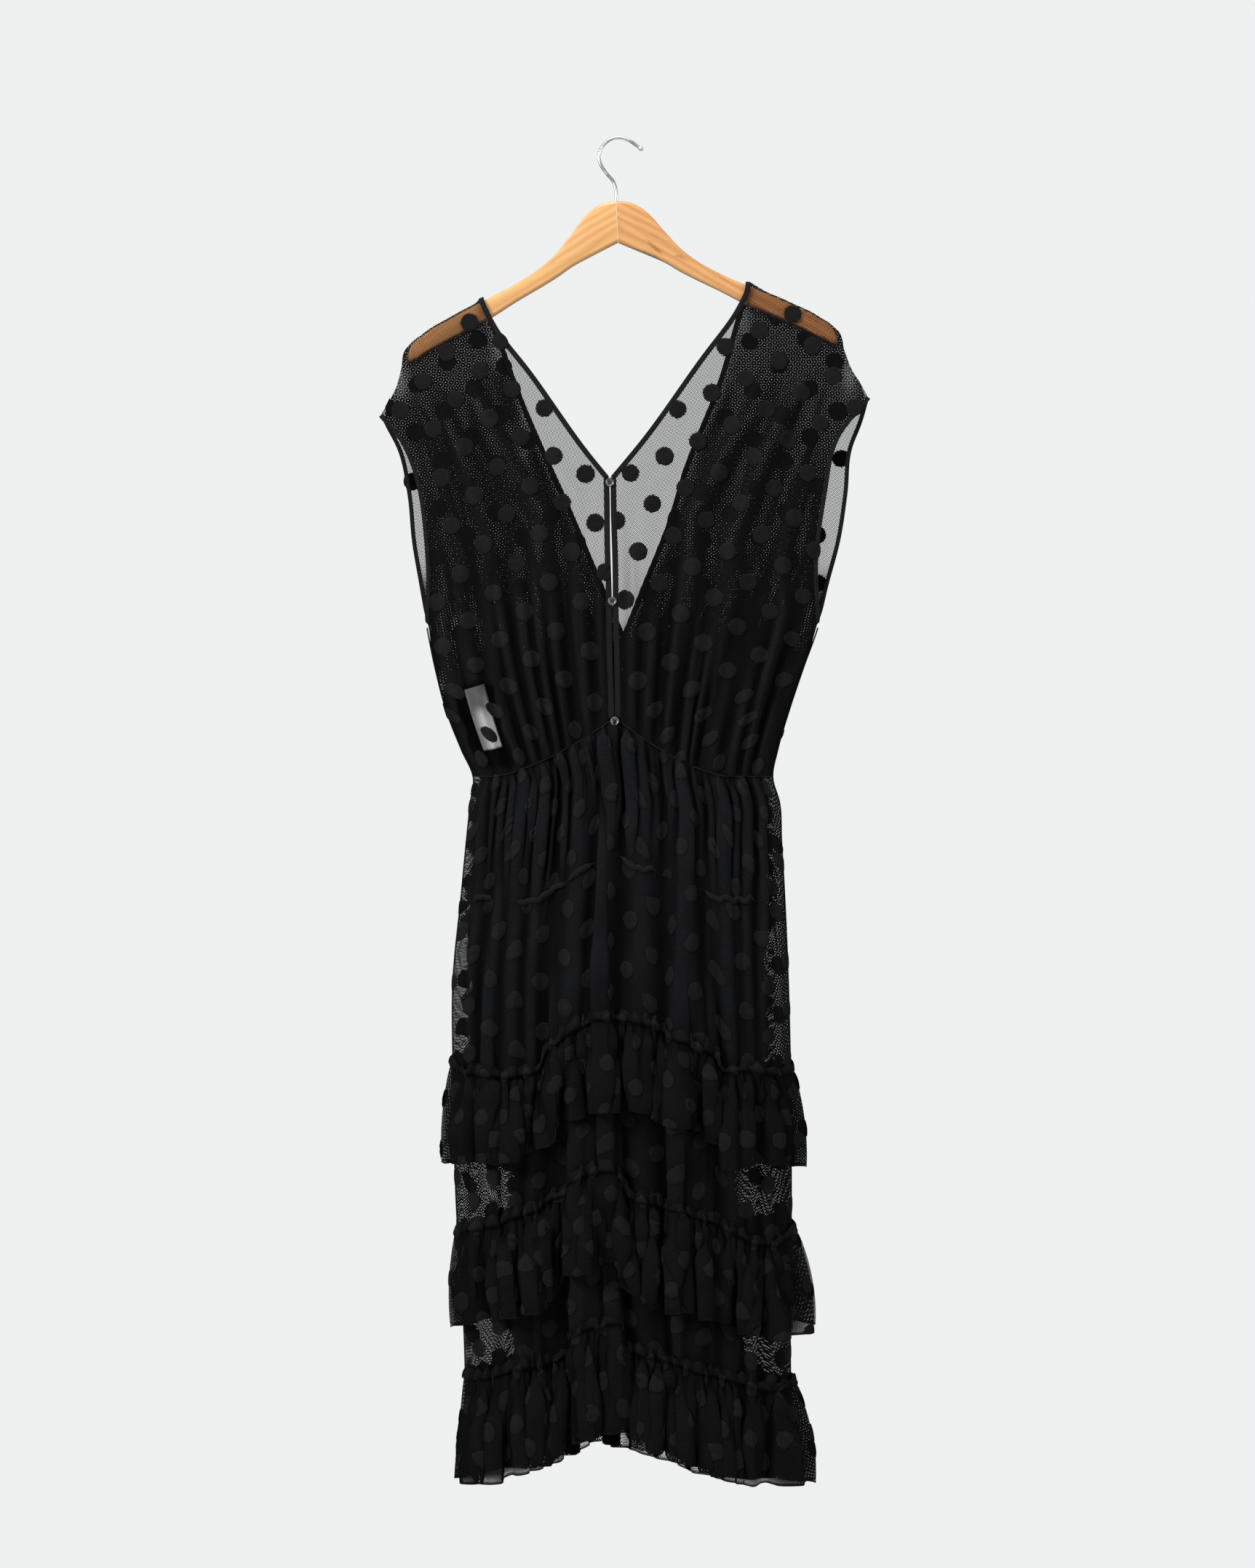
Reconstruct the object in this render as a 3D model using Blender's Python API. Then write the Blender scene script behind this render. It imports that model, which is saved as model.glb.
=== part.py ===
# Ruffled dress in dotted black net, hung on a flat two-piece wooden hanger.
# All sizes are millimetres until a mesh is made. x runs to the viewer's right, y away from the
# viewer, and drop is the distance below the point that the hook hangs from, which is the origin.
# The side with the buttons is the front and faces -y.

import math

import bmesh
import bpy
import numpy as np
from mathutils import Vector

MM = 0.001

# Cloth
CLOTH_THICKNESS = 1.2
TAPE_THICKNESS = 1.2
SEAM_GAP = 0.95
SIDE_SEAM_GAP = 1.15
SECTION_ROUNDNESS = 2.6

# Hanger and hook
HANGER_CENTRE_X = -7.0
HANGER_APEX_DROP = 63.6
HANGER_TILT = math.radians(2.4)
HANGER_THICKNESS = 12.0
HANGER_EDGE_ROUND = 3.2
MITRE_GAP = 0.4
WIRE_DIAMETER = 3.4
STEM_END_GAP = 0.4
HOOK_STEP = 4.6

# Shoulders: the net is folded over the wood, whose front and back it just clears
SHOULDER_LIFT = 2.4
NECK_STAND_UP = 2.6
CLEAR_OF_WOOD = 7.5
OVER_WOOD_EDGE = 5.0
WOOD_ENDS_DROP = 246.0
CAP_FLAT_DROP = 360.0

# Bodice
BODICE_COLUMNS = 16
BODICE_ROWS = (0.0, 0.0004, 0.010, 0.10, 0.20, 0.30, 0.40, 0.50, 0.60, 0.70, 0.80, 0.88, 0.95, 1.0)
FRONT_V_ROW = 0.50
UNDERARM_ROW = 0.60
BACK_V_ROW = 0.80
GATHERS_PER_QUARTER = 4
GATHER_HEIGHT = 7.0
GATHER_STARTS = 0.25
BACK_CENTRE_X = 0.5
BACK_V_FOOT = 520.0
SIDE_TURN = 0.985

# Bound edges and the front placket
NECK_TAPE_WIDTH = 5.0
ARMHOLE_TAPE_WIDTH = 4.0
PLACKET_BAND_WIDTH = 6.0
PLACKET_SLIT = 1.2
TAPE_GAP = 0.6
PLACKET_TOP_CUT = 348.6
UNDERARM_SPREAD = 1.9

# Buttons
BUTTON_DIAMETER = 9.0
BUTTON_THICKNESS = 2.0
BUTTON_HOLE_DIAMETER = 1.3
BUTTON_HOLE_SPREAD = 1.5
BUTTON_SEAT_GAP = 0.35

# Skirt and ruffles
SKIRT_COLUMNS = 56
SKIRT_SIDE_TURN = 0.005
SIDE_SPLAY = 0.12
SIDE_FLARE = 0.055
BACK_PEAK_SAG = 12.0
RUFFLE_WAVES = 14
WAVE_DRIFT = 0.012
WAVE_UNEVEN = 0.18
WAVE_UNEVEN_TURNS = 23.0
HEAD_HEIGHT = 6.0
STITCH_STAND_OFF = 3.6

# Care label, bare, sewn inside the side seam on the viewer's left: its place and its width are
# in the bodice's columns, its ends in the bodice's rows
LABEL_THICKNESS = 1.0
LABEL_OFF_CLOTH = 1.65
LABEL_FROM_SIDE = 3.8
LABEL_COLUMNS = 1.8
LABEL_ENDS = (9.75, 11.75)

# Sections of the flat-hung body: where the outline lies left and right, and how far the front
# and the back stand out from the side seams
SECTION_COLUMNS = ("drop", "left", "right", "front", "back")
SECTIONS = (
    (150, -262, 262, 9, 9),
    (265, -256, 253, 12, 11),
    (290, -246, 246, 13, 12),
    (315, -233, 236, 14, 12),
    (363, -222, 231, 15, 13),
    (414, -217, 223, 17, 14),
    (455, -210, 212, 18, 14),
    (500, -202, 201, 19, 15),
    (545, -193, 185, 20, 16),
    (590, -181, 170, 20, 16),
    (628, -166, 159, 19, 15),
    (656, -154, 154, 18, 14),
    (682, -157, 161, 19, 15),
    (720, -161, 163, 22, 16),
    (773, -166, 166, 25, 18),
    (867, -175, 170, 29, 21),
    (945, -175, 172, 31, 22),
    (1083, -172, 173, 34, 24),
    (1240, -163, 172, 36, 26),
    (1380, -161, 174, 38, 27),
)

# Seam lines that rise to a blunt peak near the centre, read on the front
LINE_COLUMNS = ("name", "left", "right", "peak_x", "peak", "spread_left", "spread_right", "round")
LINES = (
    ("waist", 655, 655, -8.5, 595, 126, 116, 1.0),
    ("hip", 784, 784, -12, 732, 100, 150, 1.0),
    ("top", 953, 959, -5, 900, 90, 150, 1.8),
    ("middle", 1128, 1124, -16, 1057, 170, 210, 1.0),
    ("bottom", 1275, 1281, -27, 1222, 135, 195, 1.0),
    ("hem", 1369, 1372, -5, 1314, 165, 135, 1.0),
)

# Rows of the skirt: two seam lines, the share of the way between them, and how much of a
# fold's height is left there
YOKE_ROWS = (
    ("waist", "hip", 0.0, 0.0),
    ("waist", "hip", 0.45, 0.75),
    ("waist", "hip", 1.0, 0.8),
)
SKIRT_ROWS = (
    ("hip", "top", 0.0, 0.8),
    ("hip", "top", 0.5, 1.0),
    ("hip", "top", 1.0, 0.75),
    ("middle", "middle", 0.0, 0.75),
    ("bottom", "bottom", 0.0, 0.7),
    ("hem", "hem", 0.0, 0.8),
)

# Folds of the skirt: x of the ridge on a 165 mm half width, its width and its height
FOLD_HALF_WIDTH = 165.0
FOLD_MEAN = 3.4
FOLD_FADES = 0.05
FRONT_FOLDS = (
    (-145, 12, 5), (-129, 12, 5), (-108, 20, 8), (-89, 14, 7), (-45, 24, 9), (-17, 22, 8),
    (19, 30, 10), (66, 26, 10), (104, 22, 8), (125, 13, 6), (142, 12, 5),
)
BACK_FOLDS = (
    (-143, 14, 4), (-122, 16, 6), (-94, 22, 7), (-62, 20, 6), (-30, 26, 8), (4, 22, 6),
    (38, 26, 8), (74, 20, 6), (102, 20, 7), (126, 14, 5), (145, 12, 4),
)

# Ruffles: seam line, length of the flounce, and how far its hem stands off the skirt at each side
RUFFLES = (
    ("top", 98, 13, 16, 0.0),
    ("middle", 98, 14, 24, 0.9),
    ("bottom", 103, 8, 24, 2.1),
)

# Rows of a ruffle: distance below the stitching as a share of the flounce, stand-off from the
# skirt, height of the waves, and share of the stand-off at the sides
RUFFLE_ROWS = (
    (None, 3.4, 2.2, 0.45),
    (0.0, 3.0, 0.0, 0.0),
    (0.42, 5.5, 9.0, 1.1),
    (1.0, 5.0, 15.0, 1.0),
)

# Edges of the bodice as x and drop, from the shoulder down
FRONT_NECK = {
    "left": ((-146, 166), (-128, 200), (-93, 245), (-46, 312), (-13.5, 353)),
    "right": ((129, 155), (112, 186), (79, 230), (28, 302), (-13.5, 353)),
}
BACK_NECK = {
    "left": ((-146, 166), (-128, 205), (-108, 260), (-83, 319), (-56, 379), (-29, 443), (0.5, 512)),
    "right": ((129, 155), (118, 186), (99, 252), (67, 332), (47, 396), (20, 463), (0.5, 512)),
}
FRONT_ARMHOLE = {
    "left": ((-250, 283), (-225, 314), (-208, 364), (-197, 443), (-202, 500)),
    "right": ((253, 265), (219, 309), (207, 364), (198, 433), (201, 500)),
}
PLACKET_TOP = (-13.5, 353.0)
PLACKET_FOOT = (-8.5, 596.0)
BUTTON_DROPS = (("button_top", 354.0), ("button_middle", 475.7), ("button_waist", 598.4))

# Outline of one half of the hanger: distance from the centre, top and bottom below the apex
HANGER_PROFILE = (
    (0, 0, 42), (15, 2, 49), (30, 11.4, 56), (50, 35, 66), (62, 49, 74), (76, 61.5, 82),
    (104, 79, 97), (137, 95, 116), (178, 115, 136), (203, 129, 149), (219, 144, 157),
    (222, 151, 157),
)
HANGER_STATIONS = (8, 15, 22, 30, 40, 50, 62, 76, 90, 104, 120, 137, 158, 178, 191, 203, 212, 219, 222)

# The net beyond the end of the wood, in the hanger's own frame
SHOULDER_ON_WOOD = (150, 165, 180, 195, 206, 214)
SHOULDER_OFF_WOOD = ((223.5, 143.5), (226.5, 152), (228, 162), (234.5, 182), (243, 197), (252, 210.5))

# Route of the hook's wire as x and drop, from the ball at its tip to the wood
HOOK_ROUTE = (
    (20.5, 10.4), (14.4, 6.1), (7.5, 1.3), (0, -1.7), (-8, -2.0), (-15.8, 1.2), (-22, 8), (-24.8, 17),
    (-22.6, 26), (-16.5, 35), (-10.5, 42), (-7.6, 50), (-7.0, 57), (-7.0, 63.6 - STEM_END_GAP),
)
HOOK_TIP = ((0.0, 0.85), (1.2, 1.4), (2.8, 1.5), (4.4, 1.25), (5.8, 1.0))


# Curves and tables

def eased(keys, values, at):
    # a smooth curve through a table's column, flat beyond its ends
    keys = np.asarray(keys, float)
    values = np.asarray(values, float)
    slopes = np.gradient(values, keys)
    at = min(max(at, keys[0]), keys[-1])
    i = min(int(np.searchsorted(keys, at, side="right")) - 1, len(keys) - 2)
    span = keys[i + 1] - keys[i]
    t = (at - keys[i]) / span
    return float(
        (2 * t ** 3 - 3 * t ** 2 + 1) * values[i] + (t ** 3 - 2 * t ** 2 + t) * span * slopes[i]
        + (3 * t ** 2 - 2 * t ** 3) * values[i + 1] + (t ** 3 - t ** 2) * span * slopes[i + 1])


def section(column, drop):
    index = SECTION_COLUMNS.index(column)
    return eased([row[0] for row in SECTIONS], [row[index] for row in SECTIONS], drop)


def smooth_route(points, per_span=10):
    # Catmull-Rom curve through a few points
    p = [np.asarray(q, float) for q in points]
    p = [2 * p[0] - p[1]] + p + [2 * p[-1] - p[-2]]
    route = []
    for a, b, c, d in zip(p, p[1:], p[2:], p[3:]):
        for k in range(per_span):
            t = k / per_span
            route.append(0.5 * (2 * b + (c - a) * t + (2 * a - 5 * b + 4 * c - d) * t ** 2
                                + (3 * b - a - 3 * c + d) * t ** 3))
    route.append(p[-2])
    return np.array(route)


def along(route, share):
    # the point at a share of a route's length
    lengths = np.concatenate(([0.0], np.cumsum(np.linalg.norm(np.diff(route, axis=0), axis=1))))
    at = share * lengths[-1]
    return np.array([np.interp(at, lengths, route[:, k]) for k in range(route.shape[1])])


def ease_in(t):
    t = min(max(t, 0.0), 1.0)
    return t * t * (3 - 2 * t)


def side_direction(route, towards):
    # unit vectors square to each point of a route, on the side of the given direction
    step = np.gradient(route, axis=0)
    square = np.stack([-step[:, 1], step[:, 0]], axis=1)
    square /= np.linalg.norm(square, axis=1)[:, None]
    flip = np.where(square @ np.asarray(towards, float) < 0, -1.0, 1.0)
    return square * flip[:, None]


def cut_at_x(route, x, sign):
    # the part of a route that lies outside of x, ending on x
    kept = route[route[:, 0] * sign > x * sign]
    step = kept[-1] - kept[-2]
    return np.vstack([kept, kept[-1] + step * (x - kept[-1][0]) / step[0]])


def ended_at(points, axis, value):
    # a list of points whose last one slides along its stretch to a value on one axis
    before = np.array(points[-2], float)
    step = np.array(points[-1], float) - before
    return list(points[:-1]) + [tuple(before + step * (value - before[axis]) / step[axis])]


def moved_aside(points, distance, towards):
    route = smooth_route(points)
    return route + side_direction(route, towards) * distance


# Meshes

def make_material(name, colour, roughness, metallic=0.0):
    material = bpy.data.materials.new(name)
    material.use_nodes = True
    shader = material.node_tree.nodes["Principled BSDF"]
    shader.inputs["Base Color"].default_value = (*colour, 1.0)
    shader.inputs["Roughness"].default_value = roughness
    shader.inputs["Metallic"].default_value = metallic
    material.diffuse_color = (*colour, 1.0)
    return material


def to_metres(x, y, drop):
    return Vector((x * MM, y * MM, -drop * MM))


def add_object(name, mesh, material):
    thing = bpy.data.objects.new(name, mesh)
    bpy.context.scene.collection.objects.link(thing)
    mesh.materials.append(material)
    mesh.shade_smooth()
    mesh.set_sharp_from_angle(angle=math.radians(50))
    return thing


def cloth(name, grids, thickness, material, ring=False):
    # a wall of cloth through one or more grids of points, which share the points where they meet
    sheet = bmesh.new()
    for grid in grids:
        rows = len(grid) - 1
        columns = len(grid[0]) - 1
        made = bmesh.ops.create_grid(sheet, x_segments=columns, y_segments=rows, size=1.0)
        for vertex in made["verts"]:
            column = round((vertex.co.x + 1.0) / 2.0 * columns)
            row = round((vertex.co.y + 1.0) / 2.0 * rows)
            vertex.co = to_metres(*grid[row][column])
    if len(grids) > 1 or ring:
        bmesh.ops.remove_doubles(sheet, verts=sheet.verts, dist=0.00001)
    bmesh.ops.recalc_face_normals(sheet, faces=sheet.faces)
    bmesh.ops.triangulate(sheet, faces=sheet.faces, quad_method="FIXED")
    mesh = bpy.data.meshes.new(name)
    sheet.to_mesh(mesh)
    sheet.free()
    thing = add_object(name, mesh, material)
    wall = thing.modifiers.new("wall", "SOLIDIFY")
    wall.thickness = thickness * MM
    wall.offset = 0.0
    return thing


# Body of the dress

def depth_at(x, drop, front):
    # how far the front or back stands out from the side seams
    left = section("left", drop)
    right = section("right", drop)
    across = min(abs(2 * x - left - right) / (right - left), 1.0)
    full = section("front" if front else "back", drop)
    depth = full * (1 - across ** SECTION_ROUNDNESS) ** 0.5
    on_wood = 1 - ease_in((drop - WOOD_ENDS_DROP) / (CAP_FLAT_DROP - WOOD_ENDS_DROP))
    return max(depth, CLEAR_OF_WOOD * on_wood, SIDE_SEAM_GAP / 2)


def line_drop(name, x, front):
    # height of a seam line at x; at the back its peak hangs a little lower
    line = dict(zip(LINE_COLUMNS, next(row for row in LINES if row[0] == name)))
    side = "left" if x < line["peak_x"] else "right"
    away = min(abs(x - line["peak_x"]) / line["spread_" + side], 1.0)
    rise = (1 - away ** line["round"]) ** 1.5
    peak = line["peak"] + (0.0 if front else BACK_PEAK_SAG)
    return line[side] - (line[side] - peak) * rise


# Hanger

def from_hanger(x, drop):
    # from the hanger's own frame to the dress's, turned by the tilt
    turned_x = x * math.cos(HANGER_TILT) + drop * math.sin(HANGER_TILT)
    turned_drop = drop * math.cos(HANGER_TILT) - x * math.sin(HANGER_TILT)
    return HANGER_CENTRE_X + turned_x, HANGER_APEX_DROP + turned_drop


def hanger_edge(distance, column):
    return eased([row[0] for row in HANGER_PROFILE], [row[column] for row in HANGER_PROFILE], distance)


def make_hanger_half(name, side, material):
    # rounded sections from the mitre to the tip, bridged one to the next
    half = HANGER_THICKNESS / 2
    body = bmesh.new()
    rings = []
    for distance in (MITRE_GAP / 2,) + HANGER_STATIONS:
        top = hanger_edge(distance, 1)
        bottom = hanger_edge(distance, 2)
        bend = min(HANGER_EDGE_ROUND, (bottom - top) * 0.35)
        outline = (
            (-half + bend, top), (half - bend, top), (half, top + bend), (half, bottom - bend),
            (half - bend, bottom), (-half + bend, bottom), (-half, bottom - bend), (-half, top + bend),
        )
        ring = []
        for y, drop in outline:
            x, lower = from_hanger(side * distance, drop)
            ring.append(body.verts.new(to_metres(x, y, lower)))
        rings.append([body.edges.new((a, b)) for a, b in zip(ring, ring[1:] + ring[:1])])
    for near, far in zip(rings, rings[1:]):
        bmesh.ops.bridge_loops(body, edges=near + far)
    for end in (rings[0], rings[-1]):
        bmesh.ops.contextual_create(body, geom=end)
    bmesh.ops.recalc_face_normals(body, faces=body.faces)
    mesh = bpy.data.meshes.new(name)
    body.to_mesh(mesh)
    body.free()
    return add_object(name, mesh, material)


def make_hook(material):
    route = smooth_route(HOOK_ROUTE)
    length = float(np.linalg.norm(np.diff(route, axis=0), axis=1).sum())
    steps = round((length - HOOK_TIP[-1][0]) / HOOK_STEP)
    stations = list(HOOK_TIP)
    for k in range(1, steps + 1):
        stations.append((HOOK_TIP[-1][0] + (length - HOOK_TIP[-1][0]) * k / steps, 1.0))
    curve = bpy.data.curves.new("hook", "CURVE")
    curve.dimensions = "3D"
    curve.bevel_depth = WIRE_DIAMETER / 2 * MM
    curve.bevel_resolution = 2
    curve.use_fill_caps = True
    wire = curve.splines.new("POLY")
    wire.points.add(len(stations) - 1)
    for point, (distance, width) in zip(wire.points, stations):
        x, drop = along(route, distance / length)
        point.co = (*to_metres(x, 0.0, drop), 1.0)
        point.radius = width
    wire.use_smooth = True
    hook = bpy.data.objects.new("hook", curve)
    bpy.context.scene.collection.objects.link(hook)
    curve.materials.append(material)
    return hook


# Bodice

def shoulder_route(side, neck):
    # from the bound neck edge along the top of the wood, then off its end to the armhole
    sign = -1 if side == "left" else 1
    points = [np.array([neck[0], neck[1]], float)]
    for distance in SHOULDER_ON_WOOD:
        points.append(np.array(from_hanger(sign * distance, hanger_edge(distance, 1) - SHOULDER_LIFT)))
    for distance, drop in SHOULDER_OFF_WOOD:
        points.append(np.array(from_hanger(sign * distance, drop)))
    return np.array(points)


def wood_top_near(side, x):
    # drop of the wood's top edge under a place on the shoulder
    sign = -1 if side == "left" else 1
    distance = abs(x - HANGER_CENTRE_X)
    for _ in range(6):
        found, drop = from_hanger(sign * distance, hanger_edge(distance, 1))
        distance += sign * (x - found)
    return drop


def bodice_edges(side, front):
    # the four edges of one quarter of the bodice, each a route of x and drop
    sign = -1 if side == "left" else 1
    away = (sign, 0.0)
    neck_line = (FRONT_NECK if front else BACK_NECK)[side]
    neck = moved_aside(neck_line, NECK_TAPE_WIDTH / 2 + TAPE_GAP, (sign, 0.3))
    neck[0] = (neck[0][0], wood_top_near(side, neck[0][0]) - SHOULDER_LIFT - NECK_STAND_UP)
    if front:
        off_slit = PLACKET_SLIT / 2 + PLACKET_BAND_WIDTH + TAPE_GAP
        neck = cut_at_x(neck, PLACKET_TOP[0] + sign * off_slit, sign)
        foot_x = PLACKET_FOOT[0] + sign * off_slit
    else:
        neck = cut_at_x(neck, BACK_CENTRE_X, sign)
        neck[-1] = (BACK_CENTRE_X, BACK_V_FOOT)
        foot_x = BACK_CENTRE_X
    foot = (foot_x, line_drop("waist", foot_x, front) - SEAM_GAP / 2)
    centre = np.array([neck[-1], foot])
    if front:
        armhole = moved_aside(FRONT_ARMHOLE[side], -(ARMHOLE_TAPE_WIDTH / 2 + TAPE_GAP), away)
    else:
        tip = FRONT_ARMHOLE[side][0]
        drops = np.linspace(tip[1], FRONT_ARMHOLE[side][-1][1], 24)
        inset = ARMHOLE_TAPE_WIDTH + TAPE_GAP
        armhole = np.array([(section(side, d) - sign * inset, d) for d in drops])
    waist_drop = line_drop("waist", sign * FOLD_HALF_WIDTH, front) - SEAM_GAP / 2
    drops = np.linspace(armhole[-1][1], waist_drop, 16)
    blend = [1 - ease_in(k / 3) for k in range(16)]
    seam = np.array([
        (section(side, d) + (armhole[-1][0] - section(side, drops[0])) * b, d)
        for d, b in zip(drops, blend)])
    xs = np.linspace(foot_x, seam[-1][0], 60)
    waist = np.array([(x, line_drop("waist", x, front) - SEAM_GAP / 2) for x in xs])
    waist[-1] = (seam[-1][0], waist_drop)
    shoulder = shoulder_route(side, neck[0])
    shoulder[-1] = armhole[0]
    return neck, centre, armhole, seam, shoulder, waist


def gather_height(u, v):
    # soft gathers that grow towards the waist and are flattened again in its seam
    t = max((v - GATHER_STARTS) / (1 - GATHER_STARTS), 0.0)
    swell = t ** 2 * (1 - t ** 6)
    fade = math.sin(math.pi * u) ** 0.5 if 0 < u < 1 else 0.0
    return GATHER_HEIGHT * swell * fade * math.cos(2 * math.pi * GATHERS_PER_QUARTER * u)


def bodice_grid(side, front):
    # one quarter of the bodice as rows of points, from the shoulder to the waist
    neck, centre, armhole, seam, shoulder, waist = bodice_edges(side, front)
    v_row = FRONT_V_ROW if front else BACK_V_ROW
    outward = -1 if front else 1
    corners = (shoulder[0], shoulder[-1], waist[0], waist[-1])
    columns = [k / BODICE_COLUMNS for k in range(BODICE_COLUMNS)] + [SIDE_TURN, 1.0]
    grid = []
    for index, v in enumerate(BODICE_ROWS):
        inner = along(neck, v / v_row) if v <= v_row else along(centre, (v - v_row) / (1 - v_row))
        if v <= UNDERARM_ROW:
            outer = along(armhole, v / UNDERARM_ROW)
        else:
            outer = along(seam, (v - UNDERARM_ROW) / (1 - UNDERARM_ROW))
        row = []
        for u in columns:
            flat = (1 - u) * inner + u * outer + (1 - v) * along(shoulder, u) + v * along(waist, u)
            flat -= ((1 - u) * (1 - v) * corners[0] + u * (1 - v) * corners[1]
                     + (1 - u) * v * corners[2] + u * v * corners[3])
            x, drop = flat
            depth = (SIDE_SEAM_GAP / 2, OVER_WOOD_EDGE)[index] if index < 2 else depth_at(x, drop, front)
            row.append((x, outward * (depth + gather_height(u, v)), drop))
        grid.append(row)
    return grid


def beside(edge, towards, reach):
    return [(x + tx * reach, y, d + td * reach) for (x, y, d), (tx, td) in zip(edge, towards)]


def edge_towards(edge, towards):
    # directions square to an edge as seen from the front, evened out along it
    flat = np.array([(x, d) for x, _, d in edge])
    square = side_direction(flat, towards)
    for _ in range(2):
        square[1:-1] = (square[:-2] + 2 * square[1:-1] + square[2:]) / 4
        square /= np.linalg.norm(square, axis=1)[:, None]
    return square


def make_neck_tape(name, front_grid, back_grid, side, material):
    # up the front V, over the shoulder and down the back V
    sign = -1 if side == "left" else 1
    front_rows = [row[0] for row, v in zip(front_grid, BODICE_ROWS) if v <= FRONT_V_ROW]
    back_rows = [row[0] for row, v in zip(back_grid, BODICE_ROWS) if v <= BACK_V_ROW]
    into_v = (-sign, -0.5)
    front_side = edge_towards(front_rows[2:], into_v)
    back_side = edge_towards(back_rows[2:], into_v)
    top = (front_side[0] + back_side[0]) / np.linalg.norm(front_side[0] + back_side[0])
    ridge = tuple((np.array(front_rows[0]) + np.array(back_rows[0])) / 2)
    edge = front_rows[:1:-1] + [front_rows[1], ridge, back_rows[1]] + back_rows[2:]
    towards = list(front_side[::-1]) + [top] * 3 + list(back_side)
    grid = []
    for reach in (TAPE_GAP, TAPE_GAP + NECK_TAPE_WIDTH):
        row = ended_at(beside(edge, towards, reach), 0, BACK_CENTRE_X + sign * SEAM_GAP / 2)
        grid.append(ended_at(row[::-1], 2, PLACKET_TOP_CUT - SEAM_GAP))
    return cloth(name, [grid], TAPE_THICKNESS, material)


def make_armhole_tape(name, front_grid, back_grid, side, material):
    # a closed ring: down the front edge, under the arm and up the back edge
    sign = -1 if side == "left" else 1
    front_rows = [row[-1] for row, v in zip(front_grid, BODICE_ROWS) if v < UNDERARM_ROW]
    back_rows = [row[-1] for row, v in zip(back_grid, BODICE_ROWS) if v < UNDERARM_ROW]
    under = front_grid[BODICE_ROWS.index(UNDERARM_ROW)][-1]
    under_front = (under[0], -UNDERARM_SPREAD, under[2] - UNDERARM_SPREAD)
    under_back = (under[0], UNDERARM_SPREAD, under[2] - UNDERARM_SPREAD)
    outward = (sign, 0.0)
    front_side = edge_towards(front_rows[2:], outward)
    back_side = edge_towards(back_rows[2:], outward)
    top = (front_side[0] + back_side[0]) / np.linalg.norm(front_side[0] + back_side[0])
    ridge = tuple((np.array(front_rows[0]) + np.array(back_rows[0])) / 2)
    rise = (sign * 0.6, -0.8)
    edge = ([ridge, front_rows[1]] + front_rows[2:] + [under_front, under_back] + back_rows[:1:-1]
            + [back_rows[1], ridge])
    towards = [top, top] + list(front_side) + [rise, rise] + list(back_side[::-1]) + [top, top]
    grid = [beside(edge, towards, reach) for reach in (TAPE_GAP, TAPE_GAP + ARMHOLE_TAPE_WIDTH)]
    return cloth(name, [grid], TAPE_THICKNESS, material, ring=True)


def placket_x(drop):
    share = (drop - PLACKET_TOP[1]) / (PLACKET_FOOT[1] - PLACKET_TOP[1])
    return PLACKET_TOP[0] + (PLACKET_FOOT[0] - PLACKET_TOP[0]) * share


def make_placket(name, side, material):
    # a band down one side of the front slit, from the point of the V to the waist seam
    sign = -1 if side == "left" else 1
    foot = line_drop("waist", PLACKET_FOOT[0], True) - SEAM_GAP / 2
    drops = np.linspace(PLACKET_TOP_CUT, foot, 9)
    near = PLACKET_SLIT / 2
    far = near + PLACKET_BAND_WIDTH
    grid = []
    for reach in (near, far):
        row = []
        for drop in drops:
            x = placket_x(drop) + sign * reach
            row.append((x, -depth_at(x, drop, True), drop))
        row[-1] = (row[-1][0], row[-1][1], line_drop("waist", row[-1][0], True) - SEAM_GAP / 2)
        grid.append(row)
    return cloth(name, [grid], TAPE_THICKNESS, material)


def make_button(name, drop, material):
    # a turned disc with four holes, lying on the placket's slope
    radius = BUTTON_DIAMETER / 2 * MM
    body = bmesh.new()
    bmesh.ops.create_cone(body, cap_ends=True, segments=16, radius1=radius, radius2=radius,
                          depth=BUTTON_THICKNESS * MM)
    rim = [edge for edge in body.edges if abs(edge.verts[0].co.z - edge.verts[1].co.z) < 1e-7]
    bmesh.ops.bevel(body, geom=rim, offset=0.4 * MM, segments=1, affect="EDGES", profile=0.5, material=-1)
    mesh = bpy.data.meshes.new(name)
    body.to_mesh(mesh)
    body.free()
    button = add_object(name, mesh, material)
    drills = bmesh.new()
    for turn in range(4):
        angle = math.pi / 4 + turn * math.pi / 2
        made = bmesh.ops.create_cone(drills, cap_ends=True, segments=6,
                                     radius1=BUTTON_HOLE_DIAMETER / 2 * MM,
                                     radius2=BUTTON_HOLE_DIAMETER / 2 * MM,
                                     depth=BUTTON_THICKNESS * 2 * MM)
        shift = Vector((math.cos(angle), math.sin(angle), 0.0)) * BUTTON_HOLE_SPREAD * MM
        bmesh.ops.translate(drills, verts=made["verts"], vec=shift)
    drill_mesh = bpy.data.meshes.new(name + "_drill")
    drills.to_mesh(drill_mesh)
    drills.free()
    drill = bpy.data.objects.new(name + "_drill", drill_mesh)
    bpy.context.scene.collection.objects.link(drill)
    drill.hide_render = True
    drill.display_type = "WIRE"
    drill.parent = button
    holes = button.modifiers.new("holes", "BOOLEAN")
    holes.operation = "DIFFERENCE"
    holes.object = drill
    x = placket_x(drop)
    reach = BUTTON_DIAMETER / 2
    depth = depth_at(x, drop, True)
    slope = math.atan2(depth_at(x, drop + reach, True) - depth_at(x, drop - reach, True), 2 * reach)
    stand_off = CLOTH_THICKNESS / 2 + BUTTON_SEAT_GAP + BUTTON_THICKNESS / 2
    button.location = to_metres(x, -(depth + stand_off), drop)
    button.rotation_euler = (math.pi / 2 - slope, 0.0, 0.0)
    return button


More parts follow.
